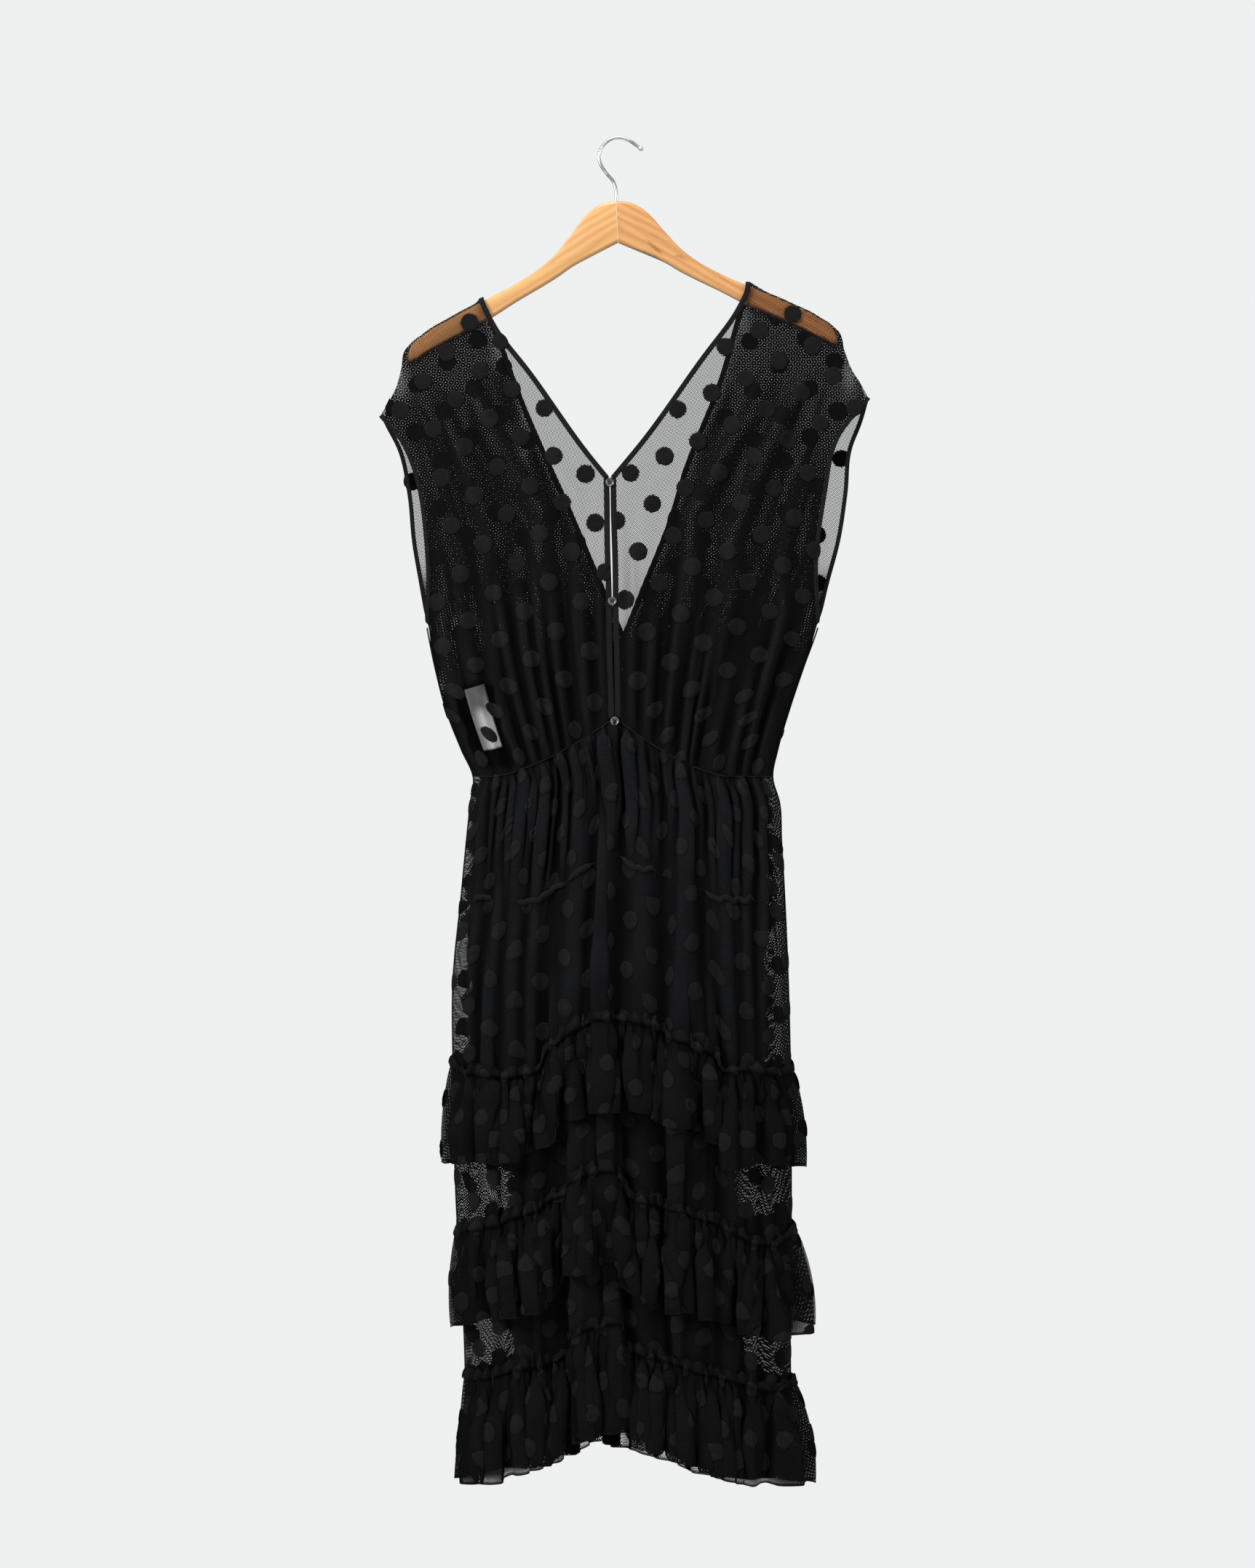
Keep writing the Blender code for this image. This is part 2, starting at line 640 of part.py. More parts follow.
def make_label(back_grid, material):
    # a bare tape on the inside of the back, its long edge along the side seam
    rows = np.array(back_grid)
    start = BODICE_COLUMNS - LABEL_FROM_SIDE
    grid = []
    for index in np.linspace(*LABEL_ENDS, 5):
        low = int(index)
        across_rows = rows[low] * (1 - index + low) + rows[low + 1] * (index - low)
        row = []
        for column in np.linspace(start, start + LABEL_COLUMNS, 3):
            left = int(column)
            point = across_rows[left] * (1 - column + left) + across_rows[left + 1] * (column - left)
            row.append((point[0], point[1] - LABEL_OFF_CLOTH, point[2]))
        grid.append(row)
    return cloth("care_label", [grid], LABEL_THICKNESS, material)


# Skirt and ruffles

def splay(u):
    # outward direction at a share of the way across: square to the cloth, turning to the side
    turn = math.pi / 2 * ease_in(min(u, 1 - u) / SIDE_SPLAY)
    return (math.cos(turn) * (-1 if u < 0.5 else 1), math.sin(turn))


def fold_height(u, front):
    # ridges stand out from the skirt and the hollows between them sink in
    x = (2 * u - 1) * FOLD_HALF_WIDTH
    folds = FRONT_FOLDS if front else BACK_FOLDS
    ridges = sum(height * math.exp(-((x - ridge) / (width * 0.5)) ** 2) for ridge, width, height in folds)
    return (ridges - FOLD_MEAN) * ease_in(min(u, 1 - u) / FOLD_FADES)


def skirt_columns():
    # even columns, with one more close to each side seam where the cloth turns
    inner = [k / SKIRT_COLUMNS for k in range(1, SKIRT_COLUMNS)]
    return [0.0, SKIRT_SIDE_TURN] + inner + [1 - SKIRT_SIDE_TURN, 1.0]


def skirt_row(spec, front, shift=0.0):
    # one row of the skirt's points, from the left side seam to the right one
    upper, lower, share, fold_share = spec
    outward = -1 if front else 1
    row = []
    for u in skirt_columns():
        x = (2 * u - 1) * FOLD_HALF_WIDTH
        for _ in range(3):
            drop = line_drop(upper, x, front) * (1 - share) + line_drop(lower, x, front) * share + shift
            left = section("left", drop)
            right = section("right", drop)
            x = left + (right - left) * u
        depth = depth_at(x, drop, front)
        aside, out = splay(u)
        fold = fold_height(u, front) * fold_share
        row.append((x + aside * fold, outward * (depth + out * fold), drop))
    return row


def column_point(rows, k, drop):
    # the skirt's surface on one of its columns at a drop, straight on beyond the hem
    points = np.array([row[k] for row in rows])
    i = int(np.clip(np.searchsorted(points[:, 2], drop) - 1, 0, len(points) - 2))
    t = (drop - points[i, 2]) / (points[i + 1, 2] - points[i, 2])
    return points[i] + (points[i + 1] - points[i]) * t


def ruffle_grid(ruffle, rows, front):
    # a gathered strip with a frilled head above its stitching
    line, length, side_left, side_right, phase = ruffle
    outward = -1 if front else 1
    grid = []
    for share, stand_off, wave_height, side_share in RUFFLE_ROWS:
        row = []
        for k, u in enumerate(skirt_columns()):
            x = (2 * u - 1) * FOLD_HALF_WIDTH
            stitch = line_drop(line, x, front)
            drop = stitch - HEAD_HEIGHT if share is None else stitch + length * share
            point = column_point(rows, k, drop)
            drift = WAVE_DRIFT * math.sin(math.pi * u) * math.sin(4 * math.pi * u + phase)
            wave = 0.5 + 0.5 * math.cos(2 * math.pi * RUFFLE_WAVES * (u + drift))
            swell = 1 - WAVE_UNEVEN + WAVE_UNEVEN * math.sin(WAVE_UNEVEN_TURNS * u + phase * 2)
            reach = stand_off + wave_height * wave * swell
            at_side = 1 - ease_in(min(u, 1 - u) / SIDE_FLARE)
            side_reach = max((side_left if u < 0.5 else side_right) * side_share, STITCH_STAND_OFF)
            reach = reach * (1 - at_side) + side_reach * at_side
            aside, out = splay(u)
            row.append((point[0] + aside * reach, point[1] + outward * out * reach, drop))
        grid.append(row)
    return grid


def main():
    for old in list(bpy.data.objects):
        bpy.data.objects.remove(old, do_unlink=True)

    net = make_material("black_net", (0.012, 0.012, 0.014), 0.85)
    binding = make_material("black_binding", (0.010, 0.010, 0.012), 0.8)
    pale_wood = make_material("pale_wood", (0.62, 0.38, 0.19), 0.45)
    brown_wood = make_material("brown_wood", (0.50, 0.27, 0.12), 0.45)
    zinc = make_material("zinc_wire", (0.72, 0.75, 0.76), 0.3, 1.0)
    shell = make_material("button_shell", (0.10, 0.10, 0.10), 0.35)
    label = make_material("label_tape", (0.62, 0.62, 0.62), 0.7)

    make_hanger_half("hanger_left", -1, pale_wood)
    make_hanger_half("hanger_right", 1, brown_wood)
    make_hook(zinc)

    front = {side: bodice_grid(side, True) for side in ("left", "right")}
    back = {side: bodice_grid(side, False) for side in ("left", "right")}
    for side in ("left", "right"):
        cloth("bodice_front_" + side, [front[side]], CLOTH_THICKNESS, net)
        make_neck_tape("neck_binding_" + side, front[side], back[side], side, binding)
        make_armhole_tape("armhole_binding_" + side, front[side], back[side], side, binding)
        make_placket("placket_" + side, side, binding)
    cloth("bodice_back", [back["left"], back["right"]], CLOTH_THICKNESS, net)
    for name, drop in BUTTON_DROPS:
        make_button(name, drop, shell)
    make_label(back["left"], label)

    for is_front, word in ((True, "front"), (False, "back")):
        yoke = [skirt_row(spec, is_front) for spec in YOKE_ROWS]
        yoke[0] = skirt_row(YOKE_ROWS[0], is_front, SEAM_GAP / 2)
        yoke[-1] = skirt_row(YOKE_ROWS[-1], is_front, -SEAM_GAP / 2)
        skirt = [skirt_row(spec, is_front) for spec in SKIRT_ROWS]
        skirt[0] = skirt_row(SKIRT_ROWS[0], is_front, SEAM_GAP / 2)
        cloth("skirt_yoke_" + word, [yoke], CLOTH_THICKNESS, net)
        cloth("skirt_" + word, [skirt], CLOTH_THICKNESS, net)
        for ruffle in RUFFLES:
            grid = ruffle_grid(ruffle, skirt, is_front)
            cloth("ruffle_" + ruffle[0] + "_" + word, [grid], CLOTH_THICKNESS, net)


main()
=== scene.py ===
import math

import bmesh
import bpy
import numpy as np
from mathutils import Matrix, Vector
from mathutils.bvhtree import BVHTree


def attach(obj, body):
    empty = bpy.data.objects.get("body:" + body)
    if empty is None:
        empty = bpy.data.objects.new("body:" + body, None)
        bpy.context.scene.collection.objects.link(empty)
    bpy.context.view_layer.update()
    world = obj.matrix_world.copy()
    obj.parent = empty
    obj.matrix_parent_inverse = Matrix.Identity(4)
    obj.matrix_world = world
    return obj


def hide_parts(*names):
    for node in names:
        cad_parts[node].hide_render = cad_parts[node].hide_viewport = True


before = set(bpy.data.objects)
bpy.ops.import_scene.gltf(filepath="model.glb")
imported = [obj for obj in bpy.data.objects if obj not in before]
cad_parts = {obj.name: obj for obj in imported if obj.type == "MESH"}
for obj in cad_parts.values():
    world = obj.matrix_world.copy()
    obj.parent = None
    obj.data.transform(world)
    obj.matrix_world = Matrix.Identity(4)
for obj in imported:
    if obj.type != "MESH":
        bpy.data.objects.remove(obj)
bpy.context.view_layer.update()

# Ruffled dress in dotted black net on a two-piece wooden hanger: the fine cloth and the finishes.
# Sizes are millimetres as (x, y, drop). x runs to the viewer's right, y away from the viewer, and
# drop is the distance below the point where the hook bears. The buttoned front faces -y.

print("frame loaded:", len(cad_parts), "nodes")


# Curves and tables

def eased(keys, values, at):
    # a smooth curve through a table's column, flat beyond its ends
    keys = np.asarray(keys, float)
    values = np.asarray(values, float)
    slopes = np.gradient(values, keys)
    at = np.clip(np.asarray(at, float), keys[0], keys[-1])
    i = np.clip(np.searchsorted(keys, at, side="right") - 1, 0, len(keys) - 2)
    span = keys[i + 1] - keys[i]
    t = (at - keys[i]) / span
    rise = (3 * t ** 2 - 2 * t ** 3)
    return (values[i] * (1 - rise) + values[i + 1] * rise
            + (t ** 3 - 2 * t ** 2 + t) * span * slopes[i] + (t ** 3 - t ** 2) * span * slopes[i + 1])


def easeIn(t):
    t = np.clip(t, 0.0, 1.0)
    return t * t * (3 - 2 * t)


def rising(value, start, span):
    return easeIn((value - start) / span)


def smoothRoute(points, perSpan=12):
    # Catmull-Rom curve through a few points
    p = [np.asarray(q, float) for q in points]
    p = [2 * p[0] - p[1]] + p + [2 * p[-1] - p[-2]]
    route = []
    for a, b, c, d in zip(p, p[1:], p[2:], p[3:]):
        for t in np.arange(perSpan) / perSpan:
            route.append(0.5 * (2 * b + (c - a) * t + (2 * a - 5 * b + 4 * c - d) * t ** 2
                                + (3 * b - a - 3 * c + d) * t ** 3))
    route.append(p[-2])
    return np.array(route)


def routeLengths(route):
    return np.concatenate(([0.0], np.cumsum(np.linalg.norm(np.diff(route, axis=0), axis=1))))


def along(route, share):
    # points at shares of a route's length
    lengths = routeLengths(route)
    at = np.asarray(share, float) * lengths[-1]
    return np.stack([np.interp(at, lengths, route[:, k]) for k in range(route.shape[1])], axis=-1)


def evened(route, spacing):
    return along(route, np.linspace(0, 1, max(3, round(routeLengths(route)[-1] / spacing) + 1)))


def unit(v):
    return v / np.maximum(np.linalg.norm(v, axis=-1, keepdims=True), 1e-9)


def softened(values, passes, ring=False):
    # runs a short average along a route, its ends held still unless it closes on itself
    values = np.array(values, float)
    for _ in range(passes):
        if ring:
            values = (np.roll(values, 1, axis=0) + 2 * values + np.roll(values, -1, axis=0)) / 4
        else:
            values[1:-1] = (values[:-2] + 2 * values[1:-1] + values[2:]) / 4
    return values


def sideOf(route, towards):
    # unit vectors square to a flat route, on the side of the given direction
    step = np.gradient(route, axis=0)
    square = unit(np.stack([-step[:, 1], step[:, 0]], axis=1))
    return square * np.where(square @ np.asarray(towards, float) < 0, -1.0, 1.0)[:, None]


def unevenSteps(count, seed, spread):
    # places of folds as shares of a width, with unequal steps between them
    steps = 1 + spread * np.random.default_rng(seed).uniform(-1, 1, count)
    return np.concatenate(([0.0], np.cumsum(steps) / steps.sum()))


def ridgeField(x, t, ridges):
    # sums soft ridges that run down t: each has a place, half width, height, start, rise, end,
    # fade and slant
    height = np.zeros(np.broadcast(x, t).shape)
    for place, width, tall, start, rise, end, fade, slant in ridges:
        swell = easeIn((t - start) / rise) * (1 - easeIn((t - end) / fade))
        height = height + tall * swell * np.exp(-((x - place - slant * (t - start)) / width) ** 2)
    return height


def evenRidges(low, high, count, seed, kind):
    # ridges side by side from low to high, each drawn within the kind's pairs of limits
    rng = np.random.default_rng(seed)
    knots = low + (high - low) * unevenSteps(count, seed + 1, kind["spread"])
    limits = [kind[name] for name in ("tall", "start", "rise", "end", "fade", "slant")]
    return [((a + b) / 2, (b - a) * kind["fill"] * rng.uniform(0.85, 1.15),
             *(rng.uniform(*pair) for pair in limits)) for a, b in zip(knots, knots[1:])]


def rolledOver(x, height, share, most):
    # how far the flanks of ridges move aside, so that the ridges stand rounder than their feet
    slope = np.gradient(height, axis=1) / np.maximum(np.gradient(x, axis=1), 0.2)
    return np.clip(share * height * slope, -most, most), np.abs(slope)


# Making meshes

signOf = {"left": -1, "right": 1}
outwardOf = {True: -1, False: 1}
wordOf = {True: "front", False: "back"}
# points of a mesh that lie nearer to each other than this, in metres, are made one
welds = {"tube": 0.000002, "seam": 0.000003}


def inMetres(points):
    return np.asarray(points, float) * (0.001, 0.001, -0.001)


def asMesh(work, name):
    mesh = bpy.data.meshes.new(name)
    work.to_mesh(mesh)
    work.free()
    return mesh


def linked(name, data):
    thing = bpy.data.objects.new(name, data)
    bpy.context.scene.collection.objects.link(thing)
    return thing


def faceOut(mesh, outward):
    # turns the faces to the side that outward names on the y axis
    if sum(p.normal.y * p.area for p in mesh.polygons) * outward < 0:
        mesh.flip_normals()


def gridMesh(name, points, outward):
    # a sheet through rows of points
    work = bmesh.new()
    bmesh.ops.create_grid(work, x_segments=points.shape[1] - 1, y_segments=len(points) - 1, size=1.0)
    mesh = asMesh(work, name)
    mesh.vertices.foreach_set("co", inMetres(points).astype(np.float32).ravel())
    mesh.update()
    faceOut(mesh, outward)
    return mesh


def ridgeShare(points, outward, reach, tall):
    # 0 in a trough and 1 on a ridge, by how a point stands against the mean of its row nearby; the materials paint
    # shade into the troughs and highlight onto the ridges by it
    out = outward * points[..., 1]
    span = 2 * reach + 1
    total = np.cumsum(np.pad(np.pad(out, ((0, 0), (reach, reach)), mode="edge"), ((0, 0), (1, 0))), axis=1)
    mean = (total[:, span:] - total[:, :-span]) / span
    return np.clip(0.5 + (out - mean) / (2 * tall), 0, 1)


def writeLayers(mesh, cloth, **numbers):
    # the cloth's own measure as a UV map in metres, and a number of each kind for each point
    corners = np.empty(len(mesh.loops), dtype=np.int32)
    mesh.loops.foreach_get("vertex_index", corners)
    layer = mesh.uv_layers.new(name="clothMap")
    layer.data.foreach_set("uv", (cloth.reshape(-1, 2) * 0.001)[corners].astype(np.float32).ravel())
    for title, values in numbers.items():
        layer = mesh.attributes.new(title, "FLOAT", "POINT")
        layer.data.foreach_set("value", values.astype(np.float32).ravel())


def paintCloth(mesh, cloth, cover, ridge, turn=0.0):
    cloth = cloth @ np.array([[math.cos(turn), math.sin(turn)], [-math.sin(turn), math.cos(turn)]])
    # ridge is the share by which the materials paint fold shade and highlight into the colour
    writeLayers(mesh, cloth, closing=closingFor(cover), ridge=ridge)


def addPiece(name, mesh, material, slotName, *nodes):
    thing = linked(name, mesh)
    mesh.materials.append(material)
    mesh.shade_smooth()
    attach(thing, "root")
    if nodes:
        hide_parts(*nodes)
    return thing


def squared(tangent, across):
    # the way across made square to the tangent, and the way out of both
    across = np.asarray(across, float)
    across = unit(across - (across * tangent).sum(-1, keepdims=True) * tangent)
    return across, np.cross(tangent, across)


def wrapped(points, closed, mapped=False):
    # a tube through rings of points, its ends filled if it is closed
    work = bmesh.new()
    if mapped:
        work.loops.layers.uv.new("clothMap")
    bmesh.ops.create_grid(work, x_segments=points.shape[1] - 1, y_segments=len(points) - 1,
                          size=1.0, calc_uvs=mapped)
    for vertex, place in zip(work.verts, inMetres(points).reshape(-1, 3)):
        vertex.co = place
    bmesh.ops.remove_doubles(work, verts=work.verts, dist=welds["tube"])
    if closed:
        bmesh.ops.holes_fill(work, edges=[e for e in work.edges if e.is_boundary], sides=200)
    bmesh.ops.recalc_face_normals(work, faces=work.faces)
    return work


def sweep(name, centre, across, outline, ring=False):
    # a strip with a rounded section: outline holds pairs, along across and out of the surface
    centre = np.asarray(centre, float)
    tangent = np.gradient(centre, axis=0)
    if ring:
        tangent[0] = tangent[-1] = centre[1] - centre[-2]
    across, out = squared(unit(tangent), across)
    outline = np.asarray(outline, float)
    if outline.ndim == 2:
        outline = np.repeat(outline[None], len(centre), axis=0)
    outline = np.concatenate([outline, outline[:, :1]], axis=1)
    points = centre[:, None] + across[:, None] * outline[..., :1] + out[:, None] * outline[..., 1:]
    mesh = asMesh(wrapped(points, closed=not ring, mapped=True), name)
    stretch = np.array([routeLengths(outline[0])[-1], routeLengths(centre)[-1]]) * 0.001
    layer = mesh.uv_layers["clothMap"]
    flat = np.empty(len(mesh.loops) * 2, dtype=np.float32)
    layer.data.foreach_get("uv", flat)
    layer.data.foreach_set("uv", (flat.reshape(-1, 2) * stretch).astype(np.float32).ravel())
    return mesh


def spun(profile, steps, weld):
    # pairs of radius and height turned about the axis
    work = bmesh.new()
    chain = [work.verts.new((radius, 0.0, height)) for radius, height in profile]
    edges = [work.edges.new(pair) for pair in zip(chain, chain[1:])]
    bmesh.ops.spin(work, geom=chain + edges, cent=(0, 0, 0), axis=(0, 0, 1), angle=2 * math.pi, steps=steps,
                   use_merge=True)
    bmesh.ops.remove_doubles(work, verts=work.verts, dist=weld)
    return work


def joined(name, meshes, weld=0.0):
    # several meshes made one, sewn together where their points meet if a weld is given
    work = bmesh.new()
    for mesh in meshes:
        work.from_mesh(mesh)
        bpy.data.meshes.remove(mesh)
    if weld:
        bmesh.ops.remove_doubles(work, verts=work.verts, dist=weld)
    return asMesh(work, name)


def roundOutline(radius, points=10):
    turns = np.arange(points) * 2 * math.pi / points
    return np.stack([np.cos(turns), np.sin(turns)], axis=1) * radius


def stripOutline(width, thickness, corner=4):
    # a flat strip with round edges
    half = width / 2 - thickness / 2
    turns = np.linspace(-math.pi / 2, math.pi / 2, corner + 1)
    right = [(half + math.cos(t) * thickness / 2, math.sin(t) * thickness / 2) for t in turns]
    left = [(-x, -y) for x, y in right]
    return np.array(right + [(0.0, thickness / 2)] + left + [(0.0, -thickness / 2)])


def joinCopies(name, shape, places):
    # copies of one small bmesh shape, each set on its own origin and three axes
    shape.verts.ensure_lookup_table()
    base = np.array([v.co[:] for v in shape.verts])
    faces = np.array([[v.index for v in f.verts] for f in shape.faces])
    shape.free()
    origins = np.array([p[0] for p in places])
    frames = np.array([p[1:] for p in places])
    points = origins[:, None] + np.einsum("vk,nkc->nvc", base, frames)
    every = faces[None] + np.arange(len(places))[:, None, None] * len(base)
    mesh = bpy.data.meshes.new(name)
    mesh.from_pydata(inMetres(points.reshape(-1, 3)).tolist(), [], every.reshape(-1, faces.shape[1]).tolist())
    return mesh


# Net: a honeycomb of round holes made by three waves

# the back's net is turned, since nets that lie alike make coarse bars of light where they overlap
net = {"pitch": 1.6, "soft": 0.35, "specks": 1.6, "specksBetween": (0.55, 0.75, 0.86, 0.985),
       "backTurn": math.radians(30)}


def closingFor(cover):
    # the level of the three waves below which there is thread, for a share of thread
    turns = np.arange(72) * 2 * math.pi / 72
    a, b = np.meshgrid(turns, turns)
    wave = np.cos(a) + np.cos(b) + np.cos(a + b)
    shares = np.linspace(0, 1, 60)
    level = np.quantile(wave, shares) + net["soft"] * (shares - 0.5)
    level[-1] = 3.4
    return np.interp(np.clip(cover, 0, 1), shares, level)


# Node groups and materials

class Nodes:
    # short calls for building a node tree
    def __init__(self, tree):
        self.tree = tree

    def add(self, kind, **settings):
        node = self.tree.nodes.new(kind)
        for key, value in settings.items():
            setattr(node, key, value)
        return node

    def put(self, socket, value):
        if isinstance(value, bpy.types.NodeSocket):
            self.tree.links.new(value, socket)
        elif value is not None:
            socket.default_value = value

    def maths(self, operation, a, b=None, c=None, clamp=False):
        node = self.add("ShaderNodeMath", operation=operation, use_clamp=clamp)
        for socket, value in zip(node.inputs, (a, b, c)):
            self.put(socket, value)
        return node.outputs[0]

    def vector(self, operation, a, b=None, scale=None):
        node = self.add("ShaderNodeVectorMath", operation=operation)
        self.put(node.inputs[0], a)
        self.put(node.inputs[1], b)
        if scale is not None:
            self.put(node.inputs["Scale"], scale)
        return node.outputs["Value" if operation in ("DOT_PRODUCT", "LENGTH", "DISTANCE") else "Vector"]

    def noise(self, vector, scale, detail=2.0, rough=0.5, distortion=0.0):
        node = self.add("ShaderNodeTexNoise")
        for name, value in (("Vector", vector), ("Scale", scale), ("Detail", detail),
                            ("Roughness", rough), ("Distortion", distortion)):
            self.put(node.inputs[name], value)
        return node.outputs["Fac"], node.outputs["Color"]

    def spread(self, value, low, high, toLow=0.0, toHigh=1.0, smooth=False):
        node = self.add("ShaderNodeMapRange", interpolation_type="SMOOTHSTEP" if smooth else "LINEAR")
        for name, item in (("Value", value), ("From Min", low), ("From Max", high),
                           ("To Min", toLow), ("To Max", toHigh)):
            self.put(node.inputs[name], item)
        return node.outputs["Result"]

    def blend(self, share, a, b):
        node = self.add("ShaderNodeMix", data_type="RGBA")
        self.put(node.inputs["Factor"], share)
        self.put(node.inputs["A"], a)
        self.put(node.inputs["B"], b)
        return node.outputs["Result"]

    def mapped(self, vector, scale=(1, 1, 1), turn=(0, 0, 0), shift=(0, 0, 0)):
        node = self.add("ShaderNodeMapping")
        self.put(node.inputs["Vector"], vector)
        node.inputs["Scale"].default_value = scale
        node.inputs["Rotation"].default_value = turn
        node.inputs["Location"].default_value = shift
        return node.outputs["Vector"]

    def bump(self, height, strength, distance):
        node = self.add("ShaderNodeBump")
        self.put(node.inputs["Height"], height)
        node.inputs["Strength"].default_value = strength
        node.inputs["Distance"].default_value = distance
        return node.outputs["Normal"]


def startGroup(name, inputs, outputs):
    group = bpy.data.node_groups.new(name, "ShaderNodeTree")
    for title, kind, value in inputs:
        socket = group.interface.new_socket(name=title, in_out="INPUT", socket_type="NodeSocket" + kind)
        if value is not None:
            socket.default_value = value
    for title, kind in outputs:
        group.interface.new_socket(name=title, in_out="OUTPUT", socket_type="NodeSocket" + kind)
    n = Nodes(group)
    return n, n.add("NodeGroupInput").outputs, n.add("NodeGroupOutput").inputs


def netGroup():
    # honeycomb net: Alpha is 1 on a thread and 0 in a hole, Thread the threads' height round each hole
    n, given, result = startGroup(
        "honeycombNet",
        [("Vector", "Vector", None), ("Pitch", "Float", 0.0015), ("Closing", "Float", -0.8),
         ("Soft", "Float", 0.35), ("Wander", "Float", 0.0006)],
        [("Alpha", "Float"), ("Thread", "Float")])
    _, drift = n.noise(given["Vector"], 26.0, 2.0)
    drift = n.vector("SUBTRACT", drift, (0.5, 0.5, 0.5))
    drift = n.vector("SCALE", drift, scale=given["Wander"])
    place = n.vector("ADD", given["Vector"], drift)
    turns = n.maths("DIVIDE", 4 * math.pi / math.sqrt(3), given["Pitch"])
    place = n.vector("SCALE", place, scale=turns)
    waves = [n.maths("COSINE", n.vector("DOT_PRODUCT", place, direction))
             for direction in ((1.0, 0.0, 0.0), (0.5, 0.866, 0.0), (-0.5, 0.866, 0.0))]
    wave = n.maths("ADD", n.maths("ADD", waves[0], waves[1]), waves[2])
    edge = n.maths("ADD", given["Closing"], given["Soft"])
    n.put(result["Alpha"], n.spread(wave, given["Closing"], edge, 1.0, 0.0))
    n.put(result["Thread"], n.spread(wave, -1.5, 2.2, 1.0, 0.0))
    return n.tree


def fibreGroup():
    # spun fibre: two tones in short streaks along the yarn, with a fine height
    n, given, result = startGroup(
        "fibreTone",
        [("Vector", "Vector", None), ("Dark", "Color", (0, 0, 0, 1)), ("Light", "Color", (0, 0, 0, 1)),
         ("Streaks", "Float", 900.0), ("Patches", "Float", 30.0)],
        [("Color", "Color"), ("Height", "Float"), ("Rough", "Float")])
    fine, _ = n.noise(n.mapped(given["Vector"], (0.35, 1.0, 1.0)), given["Streaks"], 2.0, 0.6)
    wide, _ = n.noise(given["Vector"], given["Patches"], 3.0, 0.55)
    share = n.maths("ADD", n.maths("MULTIPLY", fine, 0.6), n.maths("MULTIPLY", wide, 0.6))
    share = n.spread(share, 0.38, 0.82)
    n.put(result["Color"], n.blend(share, given["Dark"], given["Light"]))
    n.put(result["Height"], fine)
    n.put(result["Rough"], n.spread(wide, 0.3, 0.7, 0.72, 0.92))
    return n.tree


def ribGroup():
    # rows of floats across a tape or a woven dot, broken by the yarn's own unevenness
    n, given, result = startGroup(
        "wovenRibs",
        [("Vector", "Vector", None), ("Rows", "Float", 1100.0), ("Slant", "Float", 0.0)],
        [("Height", "Float")])
    parts = n.add("ShaderNodeSeparateXYZ")
    n.put(parts.inputs[0], given["Vector"])
    loose, _ = n.noise(given["Vector"], 420.0, 2.0)
    lean = n.maths("MULTIPLY", parts.outputs[0], given["Slant"])
    place = n.maths("ADD", n.maths("ADD", parts.outputs[1], lean), n.maths("MULTIPLY", loose, 0.0009))
    wave = n.maths("SINE", n.maths("MULTIPLY", place, n.maths("MULTIPLY", given["Rows"], 2 * math.pi)))
    n.put(result["Height"], n.maths("ADD", n.maths("MULTIPLY", wave, 0.35), n.maths("MULTIPLY", loose, 0.9)))
    return n.tree


def woodGroup():
    # long grain with growth bands, pores and darker knotty streaks
    n, given, result = startGroup(
        "hangerWood",
        [("Vector", "Vector", None), ("Pale", "Color", (0, 0, 0, 1)), ("Band", "Color", (0, 0, 0, 1)),
         ("Knot", "Color", (0, 0, 0, 1)), ("Knots", "Float", 0.2)],
        [("Color", "Color"), ("Height", "Float"), ("Rough", "Float")])
    stretched = n.mapped(given["Vector"], (0.09, 1.0, 1.0))
    soft, _ = n.noise(stretched, 60.0, 4.0, 0.55, 0.4)
    fine, _ = n.noise(stretched, 520.0, 3.0, 0.6)
    bands = n.add("ShaderNodeTexWave", wave_type="BANDS", bands_direction="Z", wave_profile="SIN")
    n.put(bands.inputs["Vector"], n.mapped(given["Vector"], (0.16, 0.6, 1.0)))
    for name, value in (("Scale", 34.0), ("Distortion", 7.0), ("Detail", 2.5), ("Detail Scale", 1.1)):
        bands.inputs[name].default_value = value
    share = n.maths("ADD", n.maths("MULTIPLY", bands.outputs["Fac"], 0.45), n.maths("MULTIPLY", soft, 0.55))
    tone = n.blend(n.spread(share, 0.25, 0.85), given["Pale"], given["Band"])
    knots, _ = n.noise(n.mapped(given["Vector"], (0.30, 1.0, 1.0)), 55.0, 3.0, 0.62, 1.3)
    knots = n.maths("MULTIPLY", n.spread(knots, 0.56, 0.74, smooth=True), given["Knots"])
    tone = n.blend(knots, tone, given["Knot"])
    pores = n.spread(fine, 0.60, 0.72, 0.0, 0.35)
    n.put(result["Color"], n.blend(pores, tone, given["Knot"]))
    n.put(result["Height"], fine)
    n.put(result["Rough"], n.spread(soft, 0.3, 0.7, 0.36, 0.52))
    return n.tree


groups = {"net": netGroup(), "fibre": fibreGroup(), "ribs": ribGroup(), "wood": woodGroup()}


def startMaterial(name, metallic=0.0, coat=0.0, sheen=0.0):
    material = bpy.data.materials.new(name)
    material.use_nodes = True
    n = Nodes(material.node_tree)
    shader = n.tree.nodes["Principled BSDF"].inputs
    for title, value in (("Metallic", metallic), ("Coat Weight", coat), ("Sheen Weight", sheen)):
        shader[title].default_value = value
    return material, n, shader


def finishShader(n, shader, colour, rough, height, strength, distance, specular=None, coatRough=None):
    for title, value in (("Base Color", colour), ("Roughness", rough), ("Specular IOR Level", specular),
                         ("Coat Roughness", coatRough), ("Normal", n.bump(height, strength, distance))):
        n.put(shader[title], value)


def useGroup(n, name, **values):
    node = n.add("ShaderNodeGroup", node_tree=groups[name])
    for key, value in values.items():
        n.put(node.inputs[key], value)
    return node.outputs


